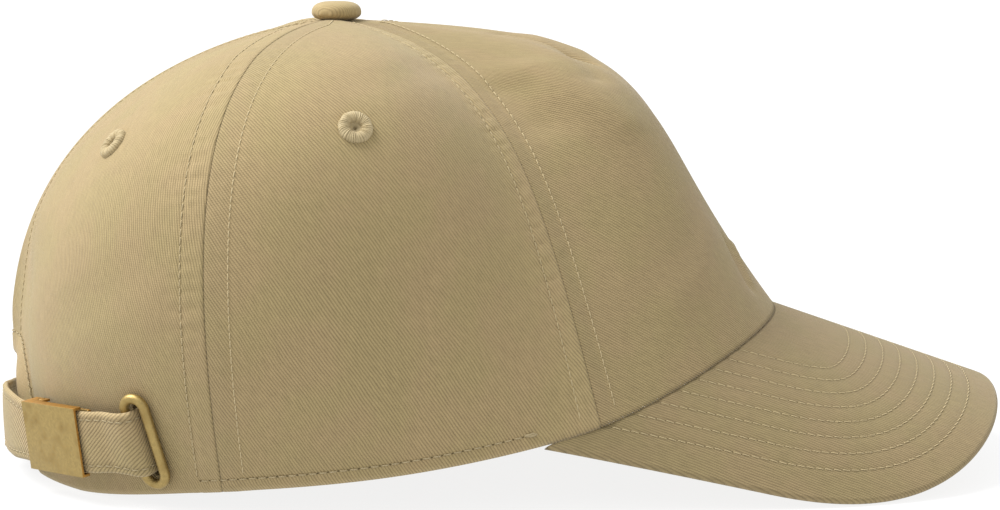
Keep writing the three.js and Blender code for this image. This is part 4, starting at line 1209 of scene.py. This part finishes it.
def peak_object():
    quick = 1
    half_columns, rows = int(110 * quick), int(96 * quick)
    outline = peak_outline(half_columns + 1)
    fine = peak_outline(260)
    k = np.linspace(0, 1, half_columns + 1)
    join = peak_flat((PEAK_END - 4) * k, PEAK_TUCK)
    edge_in = np.array([0, 0.12, 0.3, 0.55, 0.8, 1.0]) * PEAK_THICKNESS * 0.5
    half = PEAK_THICKNESS / 2
    thick_at = np.sqrt(np.maximum(1 - (1 - edge_in / half) ** 2, 0)) * half
    inward = unit(join - outline)
    reach = length(join - outline)
    s = np.linspace(0, 1, rows)
    flat, thick = [], []
    for e, th in zip(edge_in, np.maximum(thick_at, 0.12)):
        flat.append(outline + inward * np.minimum(e, 0.2 * reach)[:, None])
        thick.append(np.full(len(outline), th))
    last = flat[-1]
    for share in s[1:]:
        flat.append(last + (join - last) * share)
        thick.append(np.full(len(outline), half))
    flat, thick = np.array(flat), np.array(thick)
    flat = np.concatenate([flat[:, :0:-1] * np.array([1, -1]), flat], 1).transpose(1, 0, 2)
    thick = np.concatenate([thick[:, :0:-1], thick], 1).T
    columns, count = thick.shape
    away = outline_distance(flat.reshape(-1, 2), fine).reshape(thick.shape)
    rise = 0.08 * smooth_step(away / 3)
    for row in peak_rows():
        rise = rise - 0.12 * bell(away - row, 0.8)
    top = peak_place(flat[..., 0], flat[..., 1], half - thick - rise * (thick > half * 0.9))
    under = peak_place(flat[..., 0], flat[..., 1], half + thick + rise * (thick > half * 0.9))
    points = np.concatenate([top.reshape(-1, 3), under.reshape(-1, 3)])
    # Painted shade along the grooves of the stitch rows; the wear layer lightens the rubbed edge.
    hollow = 0.5 * sum(bell(away - row, 0.6) for row in peak_rows())
    wear = bell(away, 1.2)
    hollow = np.clip(hollow * 0.7, 0, 1)
    layers = {"wear": np.tile(wear.ravel(), 2), "hollow": np.tile(hollow.ravel(), 2)}
    both = np.tile(flat.reshape(-1, 2), (2, 1))
    obj = make_object("peak_cloth", points, shell_faces(columns, count), both[:, ::-1], layers=layers)
    return finish_piece(obj, ["peak"], finish_of("twill", "peak"))


def peak_stitching():
    fine = peak_outline(500)
    tangent = unit(np.gradient(fine, axis=0))
    inward = np.stack([-tangent[:, 1], tangent[:, 0]], -1)
    if inward[0, 0] > 0:
        inward = -inward
    parts, painted_hole_shades = [], []
    for row in peak_rows():
        line = fine + inward * row
        line = line[outline_distance(line, fine) > row - 0.12]
        a = peak_place(line[:, 0], line[:, 1])
        keep = np.hypot(a[:, 0] / (RIM_HALF_LENGTH + 0.3), a[:, 1] / (RIM_HALF_WIDTH + 0.3)) > 1
        line = line[keep & (line[:, 1] >= 0)]
        line[0, 1] = 0
        walked = walked_along(line)
        even = np.linspace(0, walked[-1], 240)
        line = sampled(even, walked, line)
        whole = np.concatenate([line[:0:-1] * np.array([1, -1]), line])
        for _ in range(6):
            whole[1:-1] = (whole[:-2] + 2 * whole[1:-1] + whole[2:]) / 4
        for depth, face in ((0.03, 1), (PEAK_THICKNESS - 0.03, -1)):
            at = peak_place(whole[:, 0], whole[:, 1], depth)
            other = peak_place(whole[:, 0], whole[:, 1], depth + 1)
            normal = unit(at - other) * face
            parts.append(stitches(at, normal, **PEAK_SEWING))
            if face > 0:
                painted_hole_shades.append(painted_hole_shade_discs(at, normal, PEAK_SEWING, 0.12, proud=0.02))
    return parts, painted_hole_shades


# Sweatband


def sweatband_object():
    leg = 180 - math.degrees(math.asin(ARCH_HALF_WIDTH / RIM_HALF_WIDTH))
    reach = leg - BAND_STOP * degrees_per_length(leg)
    columns, rows = 260, 24
    angle = np.linspace(-reach, reach, columns)[:, None]
    height = np.linspace(BAND_LIFT, BAND_HEIGHT, rows)[None]
    share = share_at(angle + 0 * height, height + 0 * angle)
    soft = 0.18 * np.sin(np.pi * (height - BAND_LIFT) / (BAND_HEIGHT - BAND_LIFT))
    drawn = back_pinch(angle, share)
    outside = crown_point(angle, share, drawn - CLOTH - BAND_GAP)
    pinch = 0.25 * bell(height - 3.5, 0.7) + 0.25 * bell(height - BAND_HEIGHT + 2, 0.7)
    inside = crown_point(angle, share, drawn - CLOTH - BAND_GAP - BAND_CLOTH - soft + pinch)
    points = np.concatenate([outside.reshape(-1, 3), inside.reshape(-1, 3)])
    flat = np.stack([rim_walk(angle) + 0 * height, height + 0 * angle], -1).reshape(-1, 2)
    layers = {layer: np.zeros(len(points)) for layer in ("wear", "hollow")}
    flat = np.tile(flat, (2, 1))
    obj = make_object("sweatband_cloth", points, shell_faces(columns, rows), flat, layers=layers)
    cut_through(obj, [slot_cutter()])
    return finish_piece(obj, ["sweatband"], finish_of("band"))


# Strap


INSIDE_BAND = -(CLOTH + BAND_GAP + BAND_CLOTH + GAP + STRAP_THICKNESS / 2)
BUCKLE_STAND = next(w.stand for w in STRAP_ROUTE if w.place == "buckle")
BUCKLE_BASE = 1.5 * GAP + BUCKLE_STAND * (STRAP_WIDTH - STRAP_PINCH) / 2
BUCKLE_STRAP = BUCKLE_BASE + 2 * BUCKLE_PIN + GAP + STRAP_THICKNESS / 2


def strap_route():
    leg = math.degrees(math.asin(ARCH_HALF_WIDTH / RIM_HALF_WIDTH))
    near = degrees_per_length(RING_ANGLE)
    places = {
        "leg": (180 + leg, STRAP_SEWN * degrees_per_length(180 + leg)),
        "arch": (180, leg),
        "buckle": (BUCKLE_ANGLE, BUCKLE_LENGTH / 2 * degrees_per_length(BUCKLE_ANGLE)),
        "ring": (RING_ANGLE, (RING_WIDTH / 2 - RING_WIRE) * near),
        "tail": (RING_ANGLE, -STRAP_TAIL * near),
    }
    levels = {
        "inside": INSIDE_BAND,
        "face": 0,
        "buckle": BUCKLE_STRAP,
        "limb": 2 * RING_WIRE + 2 * GAP + STRAP_THICKNESS / 2 + STRAP_EASE,
    }
    route = []
    for w in STRAP_ROUTE:
        middle, reach = places[w.place]
        route.append((middle + w.share * reach, levels[w.level] + w.lift * STRAP_THICKNESS, w.stand))
    return np.array(route)


def eased_curve(points, per):
    """Centripetal curve through points, with per steps between each two."""
    points = np.asarray(points, float)
    result = []
    for i in range(len(points) - 1):
        p1, p2 = points[i], points[i + 1]
        p0 = points[i - 1] if i > 0 else 2 * p1 - p2
        p3 = points[i + 2] if i + 2 < len(points) else 2 * p2 - p1
        d0, d1, d2 = (max(np.linalg.norm(b - a) ** 0.5, 1e-4) for a, b in ((p0, p1), (p1, p2), (p2, p3)))
        t1 = ((p1 - p0) / d0 - (p2 - p0) / (d0 + d1) + (p2 - p1) / d1) * d1
        t2 = ((p2 - p1) / d1 - (p3 - p1) / (d1 + d2) + (p3 - p2) / d2) * d1
        s = np.arange(per)[:, None] / per
        leaving = (2 * s**3 - 3 * s**2 + 1) * p1 + (s**3 - 2 * s**2 + s) * t1
        result.append(leaving + (3 * s**2 - 2 * s**3) * p2 + (s**3 - s**2) * t2)
    return np.concatenate(result + [points[-1:]])


def strap_width(phi):
    away = np.abs(phi - BUCKLE_ANGLE) / degrees_per_length(BUCKLE_ANGLE)
    return STRAP_WIDTH - STRAP_PINCH * smooth_step((BUCKLE_LENGTH / 2 + 15 - away) / 13)


def strap_height(phi):
    return eased(STRAP_HEIGHTS, "height", phi) * STRAP_WIDTH


def strap_line():
    """The strap's middle surface: places across it, and its points."""
    route = eased_curve(strap_route(), 14)
    phi, off, stand = route.T[:, :, None]
    near = degrees_per_length(RING_ANGLE)
    away = np.abs(phi - RING_ANGLE) / near
    tilt = math.tan(math.radians(RING_TILT)) * near * smooth_step((26 - away) / 20)
    across = np.linspace(-0.5, 0.5, 25)[None] * strap_width(phi)
    off = off + 0.5 * bell(phi - 166, 1.1) - 0.45 * bell(phi - 169.5, 1.3)
    off = off + 0.35 * bell(phi - 173.5, 1.4)
    line = face_point(phi + tilt * across, strap_height(phi) + across, off - stand * across)
    return across, line


def strap_faces():
    across, line = strap_line()
    along = np.gradient(line, axis=0)
    up = np.gradient(line, axis=1)
    normal = unit(np.cross(along, up))
    return across, line, normal


def strap_object():
    across, line, normal = strap_faces()
    walked = walked_along(line[:, 12])
    edge = across[:, -1:] - np.abs(across)
    half = STRAP_THICKNESS / 2
    round_off = np.sqrt(np.clip(1 - (1 - np.clip(edge / 0.8, 0, 1)) ** 2, 0.06, 1))
    dip = 0.16 * bell(edge - 2.1, 0.45)
    thick = half * round_off - dip
    front = line + normal * thick[..., None]
    back = line - normal * thick[..., None]
    columns, rows = line.shape[:2]
    points = np.concatenate([front.reshape(-1, 3), back.reshape(-1, 3)])
    flat = np.stack([walked[:, None] + 0 * across, across + 0 * walked[:, None]], -1).reshape(-1, 2)
    wear = bell(edge, 0.7) + 0 * walked[:, None]
    # Painted shade in the dip beside each stitch row.
    hollow = bell(edge - 2.1, 0.45) * 0.7 + 0 * walked[:, None]
    layers = {"wear": np.tile(wear.ravel(), 2), "hollow": np.tile(hollow.ravel(), 2)}
    flat = np.tile(flat, (2, 1))
    obj = make_object("strap_cloth", points, shell_faces(columns, rows), flat, layers=layers)
    return finish_piece(obj, ["strap"], finish_of("twill", "strap"))


def strap_stitching():
    _, line, normal = strap_faces()
    parts = []
    for side in (-1, 1):
        i = 12 + side * 9
        for face in (1, -1):
            at = line[:, i] + normal[:, i] * face * (STRAP_THICKNESS / 2 - 0.12)
            parts.append(stitches(at, normal[:, i] * face, **STRAP_SEWING))
    return parts


# Brass


def ring_object():
    matrix = ring_frame(RING_WIRE + GAP)
    r = RING_WIDTH / 2 - RING_WIRE
    straight = RING_LENGTH / 2 - RING_WIRE - r
    steps, sides = 24, 20
    line = []
    for end in (1, -1):
        for i in range(steps + 1):
            a = math.pi * i / steps + (math.pi if end < 0 else 0)
            line.append((r * math.cos(a), end * straight + r * math.sin(a)))
        for j in range(1, 12):
            line.append((-end * r, end * straight * (1 - 2 * j / 12)))
    line = np.array(line)
    tangent = unit(np.roll(line, -1, 0) - np.roll(line, 1, 0))
    out = np.stack([tangent[:, 1], -tangent[:, 0]], -1)
    k = 2 * np.pi * np.arange(sides) / sides
    flat = line[:, None] + out[:, None] * (RING_WIRE * np.cos(k))[:, None]
    z = RING_WIRE * np.sin(k)[None] + 0 * line[:, :1]
    points = placed(np.concatenate([flat, z[..., None]], -1).reshape(-1, 3), matrix)
    c = np.arange(len(line))
    d = (c + 1) % len(line)
    faces = []
    for j in range(sides):
        after = (j + 1) % sides
        faces.append(np.stack([c * sides + j, d * sides + j, d * sides + after, c * sides + after], -1))
    obj = make_object("strap_ring_wire", points, np.concatenate(faces))
    return finish_piece(obj, ["strap_ring"], finish_of("brass"))


def brass_plate(node, width):
    """The solid's own shape with its flat faces joined and its edges rounded."""
    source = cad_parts[node]
    mesh = source.data.copy()
    obj = bpy.data.objects.new(node + "_brass", mesh)
    bpy.context.scene.collection.objects.link(obj)
    obj.matrix_world = source.matrix_world
    edit = bmesh.new()
    edit.from_mesh(mesh)
    weld(edit)
    bmesh.ops.dissolve_limit(edit, angle_limit=math.radians(3), verts=edit.verts, edges=edit.edges)
    sharp = [e for e in edit.edges if len(e.link_faces) == 2 and e.calc_face_angle(0) > math.radians(50)]
    rounding = {"segments": 3, "profile": 0.5, "affect": "EDGES", "clamp_overlap": True}
    bmesh.ops.bevel(edit, geom=sharp, offset=width * 0.001, **rounding)
    broad = max(edit.faces, key=lambda face: face.calc_area()).normal.copy()
    side = edit.faces.layers.float.new("side")
    for face in edit.faces:
        face[side] = 1.0 - min(1.0, abs(face.normal.dot(broad)) / 0.8)
    edit.to_mesh(mesh)
    edit.free()
    mesh.polygons.foreach_set("use_smooth", [True] * len(mesh.polygons))
    mesh.set_sharp_from_angle(angle=math.radians(40))
    return finish_piece(obj, [node], finish_of("brass"))


# Settings, operators and panel


def color_setting(name, description, default):
    return FloatVectorProperty(
        name=name, description=description, subtype="COLOR", default=default, min=0, max=1
    )


class CapSettings(bpy.types.PropertyGroup):
    cloth_color: color_setting("Cloth", "Colour of the twill", (0.315, 0.24, 0.12))
    band_color: color_setting("Sweatband", "Colour of the sweatband", (0.29, 0.225, 0.115))
    thread_color: color_setting("Thread", "Colour of stitches and eyelets", (0.45, 0.36, 0.2))
    brass_color: color_setting("Brass", "Colour of the bare brass", (0.39, 0.285, 0.108))
    tarnish_color: color_setting("Tarnish", "Colour of the antiqued patches", (0.29, 0.215, 0.082))
    peak_row_first: FloatProperty(
        name="First peak row",
        description="Distance from the peak's edge to its outer stitch row",
        default=0.0089,
        min=0.002,
        max=0.03,
        unit="LENGTH",
    )
    peak_row_pitch: FloatProperty(
        name="Peak row spacing",
        description="Distance between stitch rows on the peak",
        default=0.00498,
        min=0.002,
        max=0.02,
        unit="LENGTH",
    )
    peak_row_count: IntProperty(
        name="Peak rows", description="Number of stitch rows on the peak", default=8, min=1, max=10
    )
    floor_color: color_setting("Floor", "Colour of the studio floor", (0.13, 0.13, 0.13))
    key_strength: FloatProperty(
        name="Key light", description="Strength of the soft key light", default=4.4, min=0, max=50
    )
    air_strength: FloatProperty(
        name="Air light", description="Strength of the light from all round", default=0.9, min=0, max=10
    )


class CapPiece:
    bl_options = {"REGISTER", "UNDO"}


class CAP_OT_panels(CapPiece, bpy.types.Operator):
    """Make the five cloth panels of the crown"""

    bl_idname = "cap.panels"
    bl_label = "Crown panels"

    def execute(self, context):
        for name in PANELS:
            panel_object(name)
        return {"FINISHED"}


class CAP_OT_stitching(CapPiece, bpy.types.Operator):
    """Sew the topstitch rows of the crown, its rim and its arch"""

    bl_idname = "cap.stitching"
    bl_label = "Crown stitching"

    def execute(self, context):
        sew_rows("crown_topstitch", crown_stitching(False))
        sew_rows("crown_sunk_topstitch", crown_stitching(True), "sunk")
        sew_rows("rim_topstitch", rim_stitching(), "strap")
        return {"FINISHED"}


class CAP_OT_eyelets(CapPiece, bpy.types.Operator):
    """Embroider the eyelets"""

    bl_idname = "cap.eyelets"
    bl_label = "Eyelets"

    def execute(self, context):
        for name in EYELETS:
            eyelet_object(name)
        return {"FINISHED"}


class CAP_OT_button(CapPiece, bpy.types.Operator):
    """Cover the button on top"""

    bl_idname = "cap.button"
    bl_label = "Button"

    def execute(self, context):
        button_object()
        return {"FINISHED"}


class CAP_OT_peak(CapPiece, bpy.types.Operator):
    """Make the peak and its stitch rows"""

    bl_idname = "cap.peak"
    bl_label = "Peak"

    def execute(self, context):
        peak_object()
        sew_rows("peak_topstitch", peak_stitching())
        return {"FINISHED"}


class CAP_OT_sweatband(CapPiece, bpy.types.Operator):
    """Line the rim with the sweatband"""

    bl_idname = "cap.sweatband"
    bl_label = "Sweatband"

    def execute(self, context):
        sweatband_object()
        return {"FINISHED"}


class CAP_OT_strap(CapPiece, bpy.types.Operator):
    """Run the strap through the arch, the buckle and the ring"""

    bl_idname = "cap.strap"
    bl_label = "Strap"

    def execute(self, context):
        strap_object()
        stitch_object("strap_topstitch", strap_stitching(), finish_of("thread", "strap"))
        return {"FINISHED"}


class CAP_OT_brass(CapPiece, bpy.types.Operator):
    """Finish the buckle and the slot ring"""

    bl_idname = "cap.brass"
    bl_label = "Buckle and ring"

    def execute(self, context):
        ring_object()
        brass_plate("buckle_cover", 0.28)
        brass_plate("buckle_base", 0.15)
        brass_plate("buckle_pin", 0.12)
        return {"FINISHED"}


class CAP_OT_stage(CapPiece, bpy.types.Operator):
    """Set the floor, the light and the camera"""

    bl_idname = "cap.stage"
    bl_label = "Studio"

    def execute(self, context):
        s = context.scene.cap_settings
        scene = context.scene
        mesh = bpy.data.meshes.new("studio_floor")
        mesh.from_pydata([(-30, -8, 0), (30, -8, 0), (30, 60, 0), (-30, 60, 0)], [], [(0, 1, 2, 3)])
        floor = bpy.data.objects.new("studio_floor", mesh)
        scene.collection.objects.link(floor)
        floor.data.materials.append(plain_floor("pale_floor", tuple(s.floor_color)))
        data = bpy.data.lights.new("key", "SUN")
        data.energy, data.angle = s.key_strength, math.radians(KEY_SOFTNESS)
        obj = bpy.data.objects.new("key", data)
        scene.collection.objects.link(obj)
        obj.location = (-1, 0, 1)
        obj.rotation_mode = "QUATERNION"
        obj.rotation_quaternion = Vector(KEY_WAY).to_track_quat("-Z", "Y")
        world = bpy.data.worlds.new("studio_air")
        world.use_nodes = True
        world.node_tree.nodes["Background"].inputs[0].default_value = (1, 1, 1, 1)
        world.node_tree.nodes["Background"].inputs[1].default_value = s.air_strength
        scene.world = world
        scene.view_settings.view_transform = "Standard"
        camera = bpy.data.cameras.new("camera")
        camera.lens, camera.sensor_width = CAMERA_LENS, 36
        camera.clip_start, camera.clip_end = 0.05, 100
        obj = bpy.data.objects.new("camera", camera)
        scene.collection.objects.link(obj)
        eye = Vector(CAMERA_PLACE) + Vector(SHIFT)
        target = Vector(CAMERA_TARGET) + Vector(SHIFT)
        obj.location = eye * 0.001
        obj.rotation_mode = "QUATERNION"
        obj.rotation_quaternion = (target - eye).to_track_quat("-Z", "Y")
        scene.camera = obj
        return {"FINISHED"}


PIECES = (
    CAP_OT_panels, CAP_OT_stitching, CAP_OT_eyelets, CAP_OT_button, CAP_OT_peak,
    CAP_OT_sweatband, CAP_OT_strap, CAP_OT_brass, CAP_OT_stage,
)


class CAP_PT_sidebar(bpy.types.Panel):
    bl_label = "Five Panel Cap"
    bl_idname = "CAP_PT_sidebar"
    bl_space_type = "VIEW_3D"
    bl_region_type = "UI"
    bl_category = "Cap"

    def draw(self, context):
        settings = context.scene.cap_settings
        for key in CapSettings.__annotations__:
            self.layout.prop(settings, key)
        for piece in PIECES:
            self.layout.operator(piece.bl_idname)


CLASSES = (CapSettings,) + PIECES + (CAP_PT_sidebar,)


def register():
    for item in CLASSES:
        bpy.utils.register_class(item)
    bpy.types.Scene.cap_settings = PointerProperty(type=CapSettings)


def unregister():
    del bpy.types.Scene.cap_settings
    for item in reversed(CLASSES):
        bpy.utils.unregister_class(item)


def main():
    register()
    for piece in PIECES:
        group, name = piece.bl_idname.split(".")
        getattr(getattr(bpy.ops, group), name)()
    bpy.context.view_layer.update()


if __name__ == "__main__":
    main()
